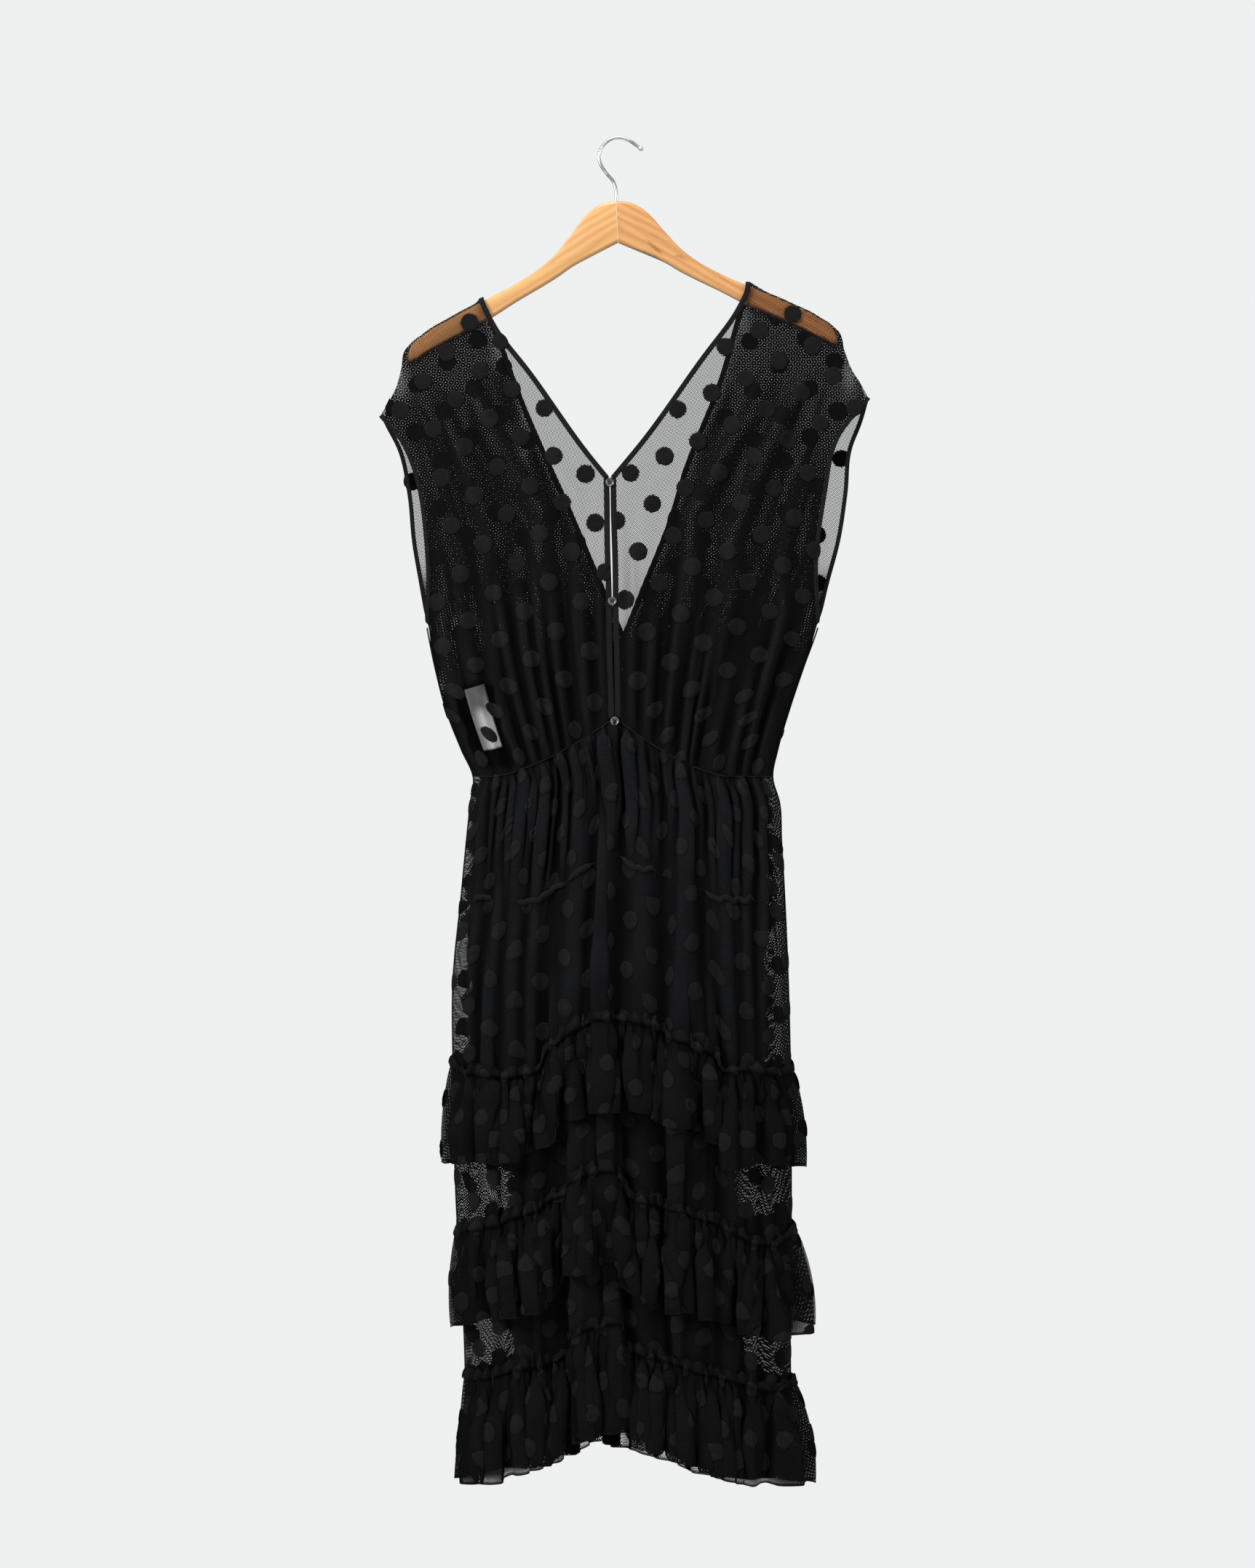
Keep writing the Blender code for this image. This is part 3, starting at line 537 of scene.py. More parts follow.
def clothPlace(n):
    return n.add("ShaderNodeUVMap", uv_map="clothMap").outputs["UV"]


def objectPlace(n):
    return n.add("ShaderNodeTexCoord").outputs["Object"]


def attribute(n, name):
    return n.add("ShaderNodeAttribute", attribute_name=name).outputs["Fac"]


def paintedFoldShading(n, colour, deep, high):
    # painted shade and highlight: the colour is darkened in the troughs of folds and lightened on their ridges, by
    # the ridge share that each sheet carries
    return n.vector("SCALE", colour, scale=n.spread(attribute(n, "ridge"), 0.0, 1.0, deep, high))


def netMaterial():
    look = {"dark": (0.0021, 0.0022, 0.0025, 1), "light": (0.0064, 0.0067, 0.0074, 1)}
    material, n, shader = startMaterial("blackNet")
    place = clothPlace(n)
    closing = attribute(n, "closing")
    # where layers lie together their threads close the holes unevenly, so single holes show as specks
    start, full, fade, end = (float(closingFor(cover)) for cover in net["specksBetween"])
    grain = n.maths("SUBTRACT", n.noise(place, 330.0, 1.5)[0], 0.5)
    specks = n.maths("MULTIPLY", grain, n.spread(closing, start, full, 0.0, net["specks"]))
    specks = n.maths("MULTIPLY", specks, n.spread(closing, fade, end, 1.0, 0.0))
    closing = n.maths("SUBTRACT", closing, specks)
    holes = useGroup(n, "net", Vector=place, Pitch=net["pitch"] * 0.001, Closing=closing, Soft=net["soft"])
    fibre = useGroup(n, "fibre", Vector=place, Dark=look["dark"], Light=look["light"], Streaks=700.0, Patches=22.0)
    # painted fold shade and highlight in the net's colour
    finishShader(n, shader, paintedFoldShading(n, fibre["Color"], 0.10, 1.22), fibre["Rough"],
                 holes["Thread"], 0.5, 0.0003, specular=0.04)
    n.put(shader["Alpha"], holes["Alpha"])
    return material


def dotMaterial():
    look = {"dark": (0.0048, 0.0048, 0.0049, 1), "light": (0.0120, 0.0118, 0.0118, 1)}
    material, n, shader = startMaterial("wovenDots", sheen=0.01)
    place = clothPlace(n)
    fibre = useGroup(n, "fibre", Vector=place, Dark=look["dark"], Light=look["light"], Streaks=1500.0,
                     Patches=160.0)
    ribs = useGroup(n, "ribs", Vector=place, Rows=950.0)
    # the dots take the painted fold shade and highlight too
    finishShader(n, shader, paintedFoldShading(n, fibre["Color"], 0.45, 1.3), fibre["Rough"],
                 ribs["Height"], 0.6, 0.0004, specular=0.04)
    # loose threads make the rim ragged, in short rows along the weave
    teeth, _ = n.noise(n.mapped(place, (0.35, 1.0, 1.0)), 1150.0, 1.0)
    edge = n.spread(teeth, 0.30, 0.70, 0.86, 1.02)
    n.put(shader["Alpha"], n.maths("LESS_THAN", attribute(n, "reach"), edge))
    return material


def tapeMaterial(name, dark, light, rows, slant, sheen=0.02):
    material, n, shader = startMaterial(name, sheen=sheen)
    place = clothPlace(n)
    fibre = useGroup(n, "fibre", Vector=place, Dark=dark, Light=light, Streaks=1300.0, Patches=60.0)
    ribs = useGroup(n, "ribs", Vector=place, Rows=rows, Slant=slant)
    finishShader(n, shader, fibre["Color"], fibre["Rough"], ribs["Height"], 0.5, 0.0003, specular=0.1)
    return material


def woodMaterial(name, look):
    material, n, shader = startMaterial(name, coat=0.18)
    place = n.mapped(objectPlace(n), turn=(0, look["lean"], 0), shift=look["shift"])
    wood = useGroup(n, "wood", Vector=place, Pale=look["pale"], Band=look["band"], Knot=look["knot"],
                    Knots=look["knots"])
    # the ends that the cloth covers are browner
    parts = n.add("ShaderNodeSeparateXYZ")
    n.put(parts.inputs[0], objectPlace(n))
    fromMiddle = n.maths("ABSOLUTE", parts.outputs[0])
    covered = n.spread(fromMiddle, look["coveredFrom"], look["coveredFrom"] + 0.006)
    browner = n.vector("MULTIPLY", wood["Color"], look["browner"])
    finishShader(n, shader, n.blend(covered, wood["Color"], browner), wood["Rough"],
                 wood["Height"], 0.12, 0.0004, coatRough=0.22)
    return material


def zincMaterial():
    material, n, shader = startMaterial("zincWire", metallic=1.0)
    place = objectPlace(n)
    cloud, _ = n.noise(place, 260.0, 3.0)
    drawn, _ = n.noise(n.mapped(place, (1.0, 1.0, 0.12)), 2400.0, 2.0)
    finishShader(n, shader, n.blend(cloud, (0.52, 0.60, 0.63, 1), (0.80, 0.86, 0.88, 1)),
                 n.spread(cloud, 0.3, 0.7, 0.24, 0.40), drawn, 0.15, 0.0001)
    return material


def shellMaterial():
    material, n, shader = startMaterial("buttonShell", coat=0.3)
    cloud, _ = n.noise(n.mapped(objectPlace(n), (1.0, 0.4, 0.5)), 420.0, 3.0, 0.6, 0.8)
    tone = n.blend(n.spread(cloud, 0.3, 0.7), (0.030, 0.030, 0.028, 1), (0.095, 0.095, 0.090, 1))
    finishShader(n, shader, tone, n.spread(cloud, 0.3, 0.7, 0.24, 0.42), cloud, 0.1, 0.0001, coatRough=0.15)
    return material


woodLooks = {
    "left": {"pale": (0.60, 0.33, 0.125, 1), "band": (0.48, 0.24, 0.08, 1), "knot": (0.34, 0.145, 0.045, 1),
             "knots": 0.12, "lean": math.radians(31), "shift": (0.02, 0.0, 0.01), "coveredFrom": 0.136,
             "browner": (1.0, 0.84, 0.77)},
    "right": {"pale": (0.56, 0.285, 0.105, 1), "band": (0.43, 0.19, 0.062, 1), "knot": (0.20, 0.075, 0.024, 1),
              "knots": 0.75, "lean": math.radians(-29), "shift": (0.31, 0.0, 0.07), "coveredFrom": 0.122,
              "browner": (1.0, 0.82, 0.75)},
}
materials = {
    "net": netMaterial(),
    "dots": dotMaterial(),
    "tape": tapeMaterial("bindingTape", (0.0030, 0.0030, 0.0034, 1), (0.0085, 0.0085, 0.0090, 1), 1300.0, 0.8),
    "tuck": tapeMaterial("foldedNet", (0.0020, 0.0021, 0.0024, 1), (0.0060, 0.0063, 0.0070, 1), 700.0, 0.3,
                         sheen=0.0),
    "thread": tapeMaterial("sewingThread", (0.004, 0.004, 0.005, 1), (0.014, 0.014, 0.015, 1), 2600.0, 1.5),
    "label": tapeMaterial("labelTape", (0.80, 0.80, 0.80, 1), (0.93, 0.93, 0.92, 1), 2200.0, 0.0),
    "woodLeft": woodMaterial("paleWood", woodLooks["left"]),
    "woodRight": woodMaterial("brownWood", woodLooks["right"]),
    "zinc": zincMaterial(),
    "shell": shellMaterial(),
}
print("materials made:", len(materials))


# Body: sections of the dress as it hangs flat, and the arched seam lines

body = {
    "columns": ("drop", "left", "right", "front", "back"),
    "sections": (
        (150, -262, 262, 9, 9), (265, -256, 253, 12, 11), (290, -246, 246, 13, 12), (315, -233, 236, 14, 12),
        (363, -222, 231, 15, 13), (414, -217, 223, 17, 14), (455, -210, 212, 18, 14), (500, -202, 201, 19, 15),
        (545, -193, 185, 20, 16), (590, -181, 170, 20, 16), (628, -166, 159, 19, 15), (656, -154, 154, 18, 14),
        (682, -157, 161, 19, 15), (720, -161, 163, 22, 16), (773, -166, 166, 25, 18), (867, -175, 170, 29, 21),
        (945, -175, 172, 31, 22), (1083, -172, 173, 34, 24), (1240, -163, 172, 36, 26), (1380, -161, 174, 38, 27),
    ),
    "roundness": 2.6,
    "clearOfWood": 7.5,
    "woodEndsDrop": 246.0,
    "capFlatDrop": 360.0,
    # name: left, right, peak x, peak, spread left, spread right, roundness of the peak
    "seams": {
        "waist": (655, 655, -8.5, 595, 126, 116, 1.0),
        "hip": (784, 784, -12, 732, 100, 150, 1.0),
        "top": (953, 959, -5, 900, 90, 150, 1.8),
        "middle": (1128, 1124, -16, 1057, 170, 210, 1.0),
        "bottom": (1275, 1281, -27, 1222, 135, 195, 1.0),
        "hem": (1369, 1372, -5, 1314, 165, 135, 1.0),
    },
    "backPeakSag": 12.0,
    "halfWidth": 165.0,
    # where the front's ruffles are stitched on: they step up over the skirt's raised middle fold
    "stepped": {
        "top": ((-165, 953), (-150, 961), (-109, 966), (-88, 962), (-78, 959), (-71, 934), (-60, 931),
                (-43, 915), (-18, 905), (2, 906), (30, 914), (51, 925), (72, 937), (89, 942), (97, 961),
                (124, 958), (150, 963), (165, 959)),
        "middle": ((-165, 1128), (-150, 1122), (-124, 1117), (-107, 1109), (-86, 1104), (-69, 1091),
                   (-53, 1086), (-45, 1069), (-27, 1063), (-11, 1061), (-5, 1069), (2, 1089), (35, 1099),
                   (56, 1103), (70, 1110), (87, 1115), (105, 1124), (126, 1136), (147, 1137), (165, 1124)),
        "bottom": ((-165, 1275), (-138, 1274), (-114, 1265), (-90, 1263), (-69, 1257), (-57, 1250), (-49, 1228),
                   (-38, 1222), (-24, 1221), (-11, 1217), (-4, 1245), (14, 1252), (35, 1257), (56, 1263),
                   (70, 1270), (91, 1273), (115, 1280), (140, 1287), (165, 1281)),
    },
    "hems": {
        "top": ((-165, 1052), (-150, 1051), (-106, 1047), (-88, 1042), (-75, 1036), (-64, 1010), (-48, 1008),
                (-33, 998), (-5, 994), (16, 999), (41, 1008), (72, 1020), (94, 1034), (101, 1055), (128, 1053),
                (165, 1056)),
        "middle": ((-165, 1217), (-125, 1211), (-93, 1203), (-69, 1187), (-57, 1165), (-38, 1160), (-20, 1157),
                   (-6, 1155), (-1, 1180), (7, 1189), (35, 1199), (66, 1203), (91, 1212), (108, 1225),
                   (140, 1229), (165, 1228)),
        "bottom": ((-165, 1379), (-133, 1379), (-102, 1366), (-70, 1358), (-62, 1340), (-33, 1330), (-8, 1326),
                   (1, 1339), (34, 1350), (65, 1364), (93, 1372), (124, 1382), (165, 1380)),
    },
    "stepWidth": 2.5,
    "eyeDrop": 662.7,
    "closer": 0.014,
}


def section(column, drop):
    index = body["columns"].index(column)
    return eased([row[0] for row in body["sections"]], [row[index] for row in body["sections"]], drop)


def depthAt(x, drop, front):
    # how far the front or the back stands out from the side seams
    left = section("left", drop)
    right = section("right", drop)
    acrossShare = np.clip(np.abs(2 * x - left - right) / (right - left), 0, 1)
    depth = section("front" if front else "back", drop) * (1 - acrossShare ** body["roundness"]) ** 0.5
    onWood = 1 - easeIn((drop - body["woodEndsDrop"]) / (body["capFlatDrop"] - body["woodEndsDrop"]))
    return np.maximum(depth, body["clearOfWood"] * onWood)


def steppedLine(table, x):
    # a line of uneven steps, drawn as it is seen and brought to the depth where it lies
    places, drops = zip(*table)
    drop = sum(np.interp(x + k * body["stepWidth"], places, drops) for k in (-1, 0, 1)) / 3
    closer = body["closer"] * (1 - np.clip(np.abs(x) / body["halfWidth"], 0, 1) ** 3)
    return drop - (drop - body["eyeDrop"]) * closer


def seamDrop(name, x, front):
    x = np.asarray(x, float)
    if front and name in body["stepped"]:
        return steppedLine(body["stepped"][name], x)
    left, right, peakX, peak, spreadLeft, spreadRight, roundness = body["seams"][name]
    side = np.where(x < peakX, left, right)
    away = np.clip(np.abs(x - peakX) / np.where(x < peakX, spreadLeft, spreadRight), 0, 1)
    top = peak + (0.0 if front else body["backPeakSag"])
    return side - (side - top) * (1 - away ** roundness) ** 1.5


# Hanger and hook

hanger = {
    "centreX": -7.0,
    "apexDrop": 63.6,
    "tilt": math.radians(2.4),
    "thickness": 12.0,
    "edgeRound": 3.4,
    "mitreGap": 0.4,
    # distance from the centre, top and bottom below the apex
    "profile": (
        (0, 0, 42), (15, 2, 49), (30, 11.4, 56), (50, 35, 66), (62, 49, 74), (76, 61.5, 82), (104, 79, 97),
        (137, 95, 116), (178, 115, 136), (203, 129, 149), (219, 144, 157), (222, 151, 157),
    ),
    "stations": 74,
    # the last stations crowd towards the tip, where the section grows thinner
    "tipLength": 6.0,
    "tipSteps": 12,
    "tipRound": 5.0,
    "tipThinner": 0.55,
}
hook = {
    "wire": 3.4,
    "route": (
        (20.5, 10.4), (14.4, 6.1), (7.5, 1.3), (0, -1.7), (-8, -2.0), (-15.8, 1.2), (-22, 8), (-24.8, 17),
        (-22.6, 26), (-16.5, 35), (-10.5, 42), (-7.6, 50), (-7.0, 57), (-7.0, 63.9),
    ),
    "ball": 2.5,
}


def fromHanger(x, drop):
    turnedX = x * math.cos(hanger["tilt"]) + drop * math.sin(hanger["tilt"])
    turnedDrop = drop * math.cos(hanger["tilt"]) - x * math.sin(hanger["tilt"])
    return hanger["centreX"] + turnedX, hanger["apexDrop"] + turnedDrop


def hangerEdge(distance, column):
    rows = hanger["profile"]
    return eased([row[0] for row in rows], [row[column] for row in rows], distance)


def roundedSection(top, bottom, half, bend, perCorner=5):
    # points round a section, as (y, drop)
    points = []
    for centreY, centreDrop, start in ((half - bend, top + bend, -90), (half - bend, bottom - bend, 0),
                                       (-half + bend, bottom - bend, 90), (-half + bend, top + bend, 180)):
        for turn in np.radians(np.linspace(start, start + 90, perCorner)):
            points.append((centreY + bend * math.cos(turn), centreDrop + bend * math.sin(turn)))
    return points


def makeHangerHalf(side):
    last = hanger["profile"][-1][0]
    tip, steps = hanger["tipLength"], hanger["tipSteps"]
    spread = np.linspace(0, 1, hanger["stations"])
    distances = np.concatenate([hanger["mitreGap"] / 2 + (last - tip) * spread[:-steps] / spread[-steps - 1],
                                last - tip * np.cos(np.linspace(0, math.pi / 2, steps + 1)[1:])])
    rings = []
    for distance in distances:
        top = float(hangerEdge(distance, 1))
        bottom = float(hangerEdge(distance, 2))
        fromTip = max(0.0, 1 - (last - distance) / hanger["tipRound"])
        half = hanger["thickness"] / 2 * math.sqrt(1 - hanger["tipThinner"] * fromTip ** 2)
        bend = min(hanger["edgeRound"], (bottom - top) * 0.42, half * 0.9)
        ring = []
        for y, drop in roundedSection(top, bottom, half, bend):
            x, lower = fromHanger(signOf[side] * distance, drop)
            ring.append((x, y, lower))
        rings.append(ring + ring[:1])
    mesh = asMesh(wrapped(np.array(rings), closed=True), "hanger_" + side + "_wood")
    slotName = "pale_wood" if side == "left" else "brown_wood"
    addPiece("hanger_" + side + "_wood", mesh, materials["wood" + side.capitalize()], slotName,
             "hanger_" + side)
    mesh.set_sharp_from_angle(angle=math.radians(60))


def makeHook():
    route = evened(smoothRoute(hook["route"]), 0.9)
    lengths = routeLengths(route)
    radius = hook["wire"] / 2 * np.ones(len(route))
    ball = hook["ball"]
    nearTip = lengths < 2 * ball
    radius[nearTip] = np.maximum(radius[nearTip], ball * np.sqrt(1 - ((lengths[nearTip] - ball) / ball) ** 2))
    radius[0] = 0.25
    radius[1] = min(radius[1], ball * 0.62)
    centre = np.stack([route[:, 0], np.zeros(len(route)), route[:, 1]], axis=1)
    outline = roundOutline(1.0, 16)[None] * radius[:, None, None]
    mesh = sweep("hook_wire", centre, (0.0, 1.0, 0.0), outline)
    addPiece("hook_wire", mesh, materials["zinc"], "zinc_wire", "hook")


makeHangerHalf("left")
makeHangerHalf("right")
makeHook()
print("hanger and hook made")


# Bodice: each quarter is a patch between its neck edge, armhole, side seam and waist

bodice = {
    "columns": 118,
    "rows": 142,
    "foldOverRows": (0.0, 0.02, 0.08, 0.2, 0.4, 0.65),
    "foldOverShare": 0.010,
    "frontV": 0.50,
    "underarm": 0.60,
    "backV": 0.80,
    "lift": 2.4,
    "standUp": 2.6,
    "tapeReach": 1.9,
    "backCentreX": 0.5,
    "backVFoot": 520.0,
    "placketTop": (-13.5, 353.0),
    "placketFoot": (-8.5, 596.0),
    "placketBand": 6.0,
    "placketBandTop": 348.6,
    "placketSlit": 1.2,
    "frontNeck": {
        "left": ((-146, 166), (-128, 200), (-93, 245), (-46, 312), (-13.5, 353)),
        "right": ((129, 155), (112, 186), (79, 230), (28, 302), (-13.5, 353)),
    },
    "backNeck": {
        "left": ((-146, 166), (-128, 205), (-108, 260), (-83, 319), (-56, 379), (-29, 443), (0.5, 512)),
        "right": ((129, 155), (118, 186), (99, 252), (67, 332), (47, 396), (20, 463), (0.5, 512)),
    },
    "frontArmhole": {
        "left": ((-250, 283), (-225, 314), (-208, 364), (-200, 443), (-202, 500)),
        "right": ((253, 265), (219, 309), (207, 364), (198, 433), (201, 500)),
    },
    "onWood": (150, 165, 180, 195, 206, 214),
    "offWood": ((223.5, 143.5), (226.5, 152), (228, 162), (234.5, 182), (243, 197), (252, 210.5)),
    "gathers": 9,
    "gatherWidth": 150.0,
    # ridges, as evenRidges reads them: gathers at the waist, smaller ones between them, and pleats of net
    "gather": {"spread": 0.35, "fill": 0.30, "tall": (4.5, 7.5), "start": (0.42, 0.72), "rise": (0.20, 0.32),
               "end": (0.94, 0.95), "fade": (0.09, 0.10), "slant": (-8, 8)},
    "smallGather": {"spread": 0.5, "fill": 0.30, "tall": (0.6, 2.2), "start": (0.55, 0.85), "rise": (0.1, 0.2),
                    "end": (0.94, 0.95), "fade": (0.09, 0.10), "slant": (-10, 10)},
    "pleats": 9,
    "pleatWidth": 158,
    "pleat": {"spread": 0.45, "fill": 0.27, "tall": (0.55, 1.3), "start": (0.0, 0.25), "rise": (0.08, 0.2),
              "end": (1.1, 1.2), "fade": (0.1, 0.2), "slant": (-6, 6)},
    # long soft folds from the shoulder: place, half width, height, start, rise, end, fade, slant
    "longFolds": {
        "left": ((22, 7, 3.6, 0.26, 0.2, 0.72, 0.2, 6), (56, 10, 4.8, 0.05, 0.2, 0.74, 0.2, -8),
                 (92, 9, 4.4, 0.10, 0.2, 0.70, 0.2, 8), (126, 7, 3.0, 0.30, 0.2, 0.75, 0.2, -4)),
        "right": ((20, 8, 3.8, 0.30, 0.2, 0.70, 0.2, -5), (50, 8, 4.0, 0.10, 0.2, 0.74, 0.2, 7),
                  (84, 10, 5.0, 0.05, 0.2, 0.72, 0.2, -7), (122, 7, 3.4, 0.24, 0.2, 0.75, 0.2, 5)),
    },
    # the open window over each side: from and to as shares of the width, first and last drop, cover
    "windows": {"left": (0.69, 0.925, 552, 640, 0.12), "right": (0.80, 0.97, 556, 645, 0.80)},
    "windowBack": 0.96,
    # spots where the two layers lie apart and the net looks thinner:
    # x, drop, half width, half height, share
    "bareSpots": {
        "left": ((-231, 248, 10, 19, 0.75), (-130, 214, 7, 22, 0.5), (-103, 302, 9, 30, 0.4),
                 (-186, 560, 4.5, 18, 0.55), (-172, 497, 4, 14, 0.45)),
        "right": ((233, 240, 8, 22, 0.65), (126, 193, 8, 18, 0.35)),
    },
    # shares of thread where one layer hangs, where two do, and at the gathers
    "openCover": 0.50,
    "coverOnWood": 0.38,
    # where two layers lie together the net is set closer than two layers alone would be: partly the second layer
    # and partly painted shade for the dark that lies behind the dress
    "doubledCover": (0.73, 0.83),
    "closerBelow": 0.016,
    "bandCover": 0.93,
    "gatheredCover": 0.98,
    # from which drop, and over how long a drop, the pleats, the closer net and the gathers begin
    "bandsFrom": (175, 90),
    "closerFrom": (200, 200),
    "gatheredFrom": (460, 160),
    # a dark line of closer net along the wood's lower edge: drop below it, half width and share of thread
    "edgeLine": (2.5, 2.2, 0.97),
    # turn of the back's net against its dots, for the pattern that two layers of net make
    "netTurn": {"left": -0.27, "right": 0.20},
    # how the cloth's threads lean at the shoulder, and the place that its measure starts from
    "lean": {("left", True): -0.19, ("right", True): 0.27, ("left", False): 0.06, ("right", False): -0.05},
    "clothOrigin": {("left", True): (-71.3, 326.7), ("right", True): (42.6, 327.8),
                    ("left", False): (0.0, 300.0), ("right", False): (0.0, 300.0)},
}


def cutAtX(route, x, sign):
    kept = route[route[:, 0] * sign > x * sign]
    step = kept[-1] - kept[-2]
    return np.vstack([kept, kept[-1] + step * (x - kept[-1][0]) / step[0]])


def movedAside(points, distance, towards):
    route = smoothRoute(points)
    return route + sideOf(route, towards) * distance


def bodiceEdges(side, front):
    sign = signOf[side]
    neck = movedAside(bodice["frontNeck" if front else "backNeck"][side], bodice["tapeReach"], (sign, 0.3))
    start = neck[0][0]
    distance = abs(start - hanger["centreX"])
    for _ in range(6):
        found, woodTop = fromHanger(sign * distance, hangerEdge(distance, 1))
        distance += sign * (start - found)
    neck[0] = (start, woodTop - bodice["lift"] - bodice["standUp"])
    if front:
        offSlit = bodice["placketSlit"] / 2 + bodice["placketBand"] - 1.0
        neck = cutAtX(neck, bodice["placketTop"][0] + sign * offSlit, sign)
        footX = bodice["placketFoot"][0] + sign * offSlit
    else:
        neck = cutAtX(neck, bodice["backCentreX"], sign)
        neck[-1] = (bodice["backCentreX"], bodice["backVFoot"])
        footX = bodice["backCentreX"]
    centre = np.array([neck[-1], (footX, seamDrop("waist", footX, front))])
    if front:
        armhole = movedAside(bodice["frontArmhole"][side], -bodice["tapeReach"], (sign, 0.0))
    else:
        drops = np.linspace(bodice["frontArmhole"][side][0][1], bodice["frontArmhole"][side][-1][1], 40)
        armhole = np.stack([section(side, drops) - sign * (2 + bodice["tapeReach"]), drops], axis=1)
    waistDrop = float(seamDrop("waist", sign * body["halfWidth"], front))
    drops = np.linspace(armhole[-1][1], waistDrop, 40)
    blend = 1 - easeIn(np.arange(40) / 8)
    seam = np.stack([section(side, drops) + (armhole[-1][0] - section(side, drops[0])) * blend, drops], axis=1)
    xs = np.linspace(footX, seam[-1][0], 90)
    waist = np.stack([xs, seamDrop("waist", xs, front)], axis=1)
    waist[-1] = (seam[-1][0], waistDrop)
    shoulder = [neck[0]]
    shoulder += [fromHanger(sign * d, float(hangerEdge(d, 1)) - bodice["lift"]) for d in bodice["onWood"]]
    shoulder += [fromHanger(sign * d, drop) for d, drop in bodice["offWood"]]
    shoulder[-1] = armhole[0]
    return neck, centre, armhole, seam, smoothRoute(shoulder, 6), waist


def bodiceRidges(side, front):
    # gathers that run up from the waist, each to its own height, and long folds from the shoulder
    seed = (11 if side == "left" else 12) + (0 if front else 10)
    width = bodice["gatherWidth"]
    ridges = evenRidges(0, width, bodice["gathers"], seed, bodice["gather"])
    ridges += evenRidges(0, width, bodice["gathers"] * 2 + 1, seed + 5, bodice["smallGather"])
    for place, *rest in bodice["longFolds"][side]:
        ridges.append((place if front else width - place, *rest))
    return ridges


def bodiceFolds(u, v, side, front):
    fade = np.sqrt(np.clip(np.sin(math.pi * np.clip(u, 0, 1)), 0, 1))
    height = ridgeField(u * bodice["gatherWidth"], v, bodiceRidges(side, front))
    settle = 2.4 * easeIn((v - 0.35) / 0.4) * (1 - 0.6 * easeIn((v - 0.94) / 0.06))
    return (height - settle) * fade


def foldBands(u, v, side):
    # long pleats where the hanging net lies in more than one thickness
    wander = 2.2 * np.sin(v * 11 + u * 5) + 1.2 * np.sin(v * 37 + 2)
    seed = 95 if side == "left" else 94
    pleats = evenRidges(0, bodice["pleatWidth"], bodice["pleats"], seed, bodice["pleat"])
    return np.clip(1.3 * ridgeField(u * bodice["gatherWidth"] + wander, v, pleats), 0, 1)


def bodiceCover(x, drop, side, front, u, v):
    # open where one layer hangs, closer where the front and the back lie over each other; the closer net there is
    # partly painted shade
    sign = signOf[side]
    frontEdge = smoothRoute(bodice["frontArmhole"][side])
    backEdge = smoothRoute(bodice["backNeck"][side])
    armholeX = np.interp(drop, frontEdge[:, 1], frontEdge[:, 0])
    neckX = np.interp(drop, backEdge[:, 1], backEdge[:, 0])
    if front:
        doubled = easeIn((sign * (x - neckX)) / 12)
        doubled = np.maximum(doubled, easeIn((drop - bodice["backVFoot"] + 30) / 34))
    else:
        doubled = 1 - easeIn((sign * (x - armholeX) + 4) / 8) * (1 - easeIn((drop - 432) / 40))
    low = bodice["openCover"]
    pair = bodice["doubledCover"][0 if front else 1]
    bands = foldBands(u, v, side)
    # the cloth falls closer together below the shoulder
    wavyDrop = drop + 22 * np.sin(x / 19.0) + 12 * np.sin(x / 7.3)
    pair = pair + bodice["closerBelow"] * rising(wavyDrop, *bodice["closerFrom"])
    shade = pair + (bodice["bandCover"] - pair) * bands * rising(drop, *bodice["bandsFrom"])
    shade = shade + (bodice["gatheredCover"] - shade) * rising(drop, *bodice["gatheredFrom"])
    if front:
        # one layer lies on the wood, and the net is closed in a dark line along the wood's lower edge
        distances = np.linspace(0, hanger["profile"][-1][0], 60)
        woodX, woodFoot = fromHanger(sign * distances, hangerEdge(distances, 2))
        order = np.argsort(woodX)
        foot = np.interp(x, woodX[order], woodFoot[order])
        reached = easeIn((woodX[-1] - x) * sign / 3)
        onWood = easeIn((foot - drop) / 2 + 0.5) * reached
        shade = shade + (bodice["coverOnWood"] - shade) * onWood
        below, halfWidth, edgeCover = bodice["edgeLine"]
        edgeLine = np.exp(-((drop - foot - below) / halfWidth) ** 2) * reached
        shade = shade + (edgeCover - shade) * edgeLine
    for spotX, spotDrop, wide, tall, amount in bodice["bareSpots"][side]:
        bare = amount * np.exp(-((x - spotX) / wide) ** 2 - ((drop - spotDrop) / tall) ** 2)
        shade = shade + (low - shade) * bare
    cover = low + (shade - low) * doubled
    # the side hangs open above the waist
    start, end, first, last, windowCover = bodice["windows"][side]
    ragged = 0.012 * np.sin(drop / 7.0) * np.sin(drop / 17.0)
    nearSide = easeIn((u - start - ragged) / 0.02) * (1 - easeIn((u - end + ragged) / 0.02))
    nearSide = nearSide * easeIn((drop - first - 60 * np.abs(u - 0.78)) / 9) * (1 - easeIn((drop - last) / 12))
    return cover * (1 - nearSide) + (windowCover if front else bodice["windowBack"]) * nearSide


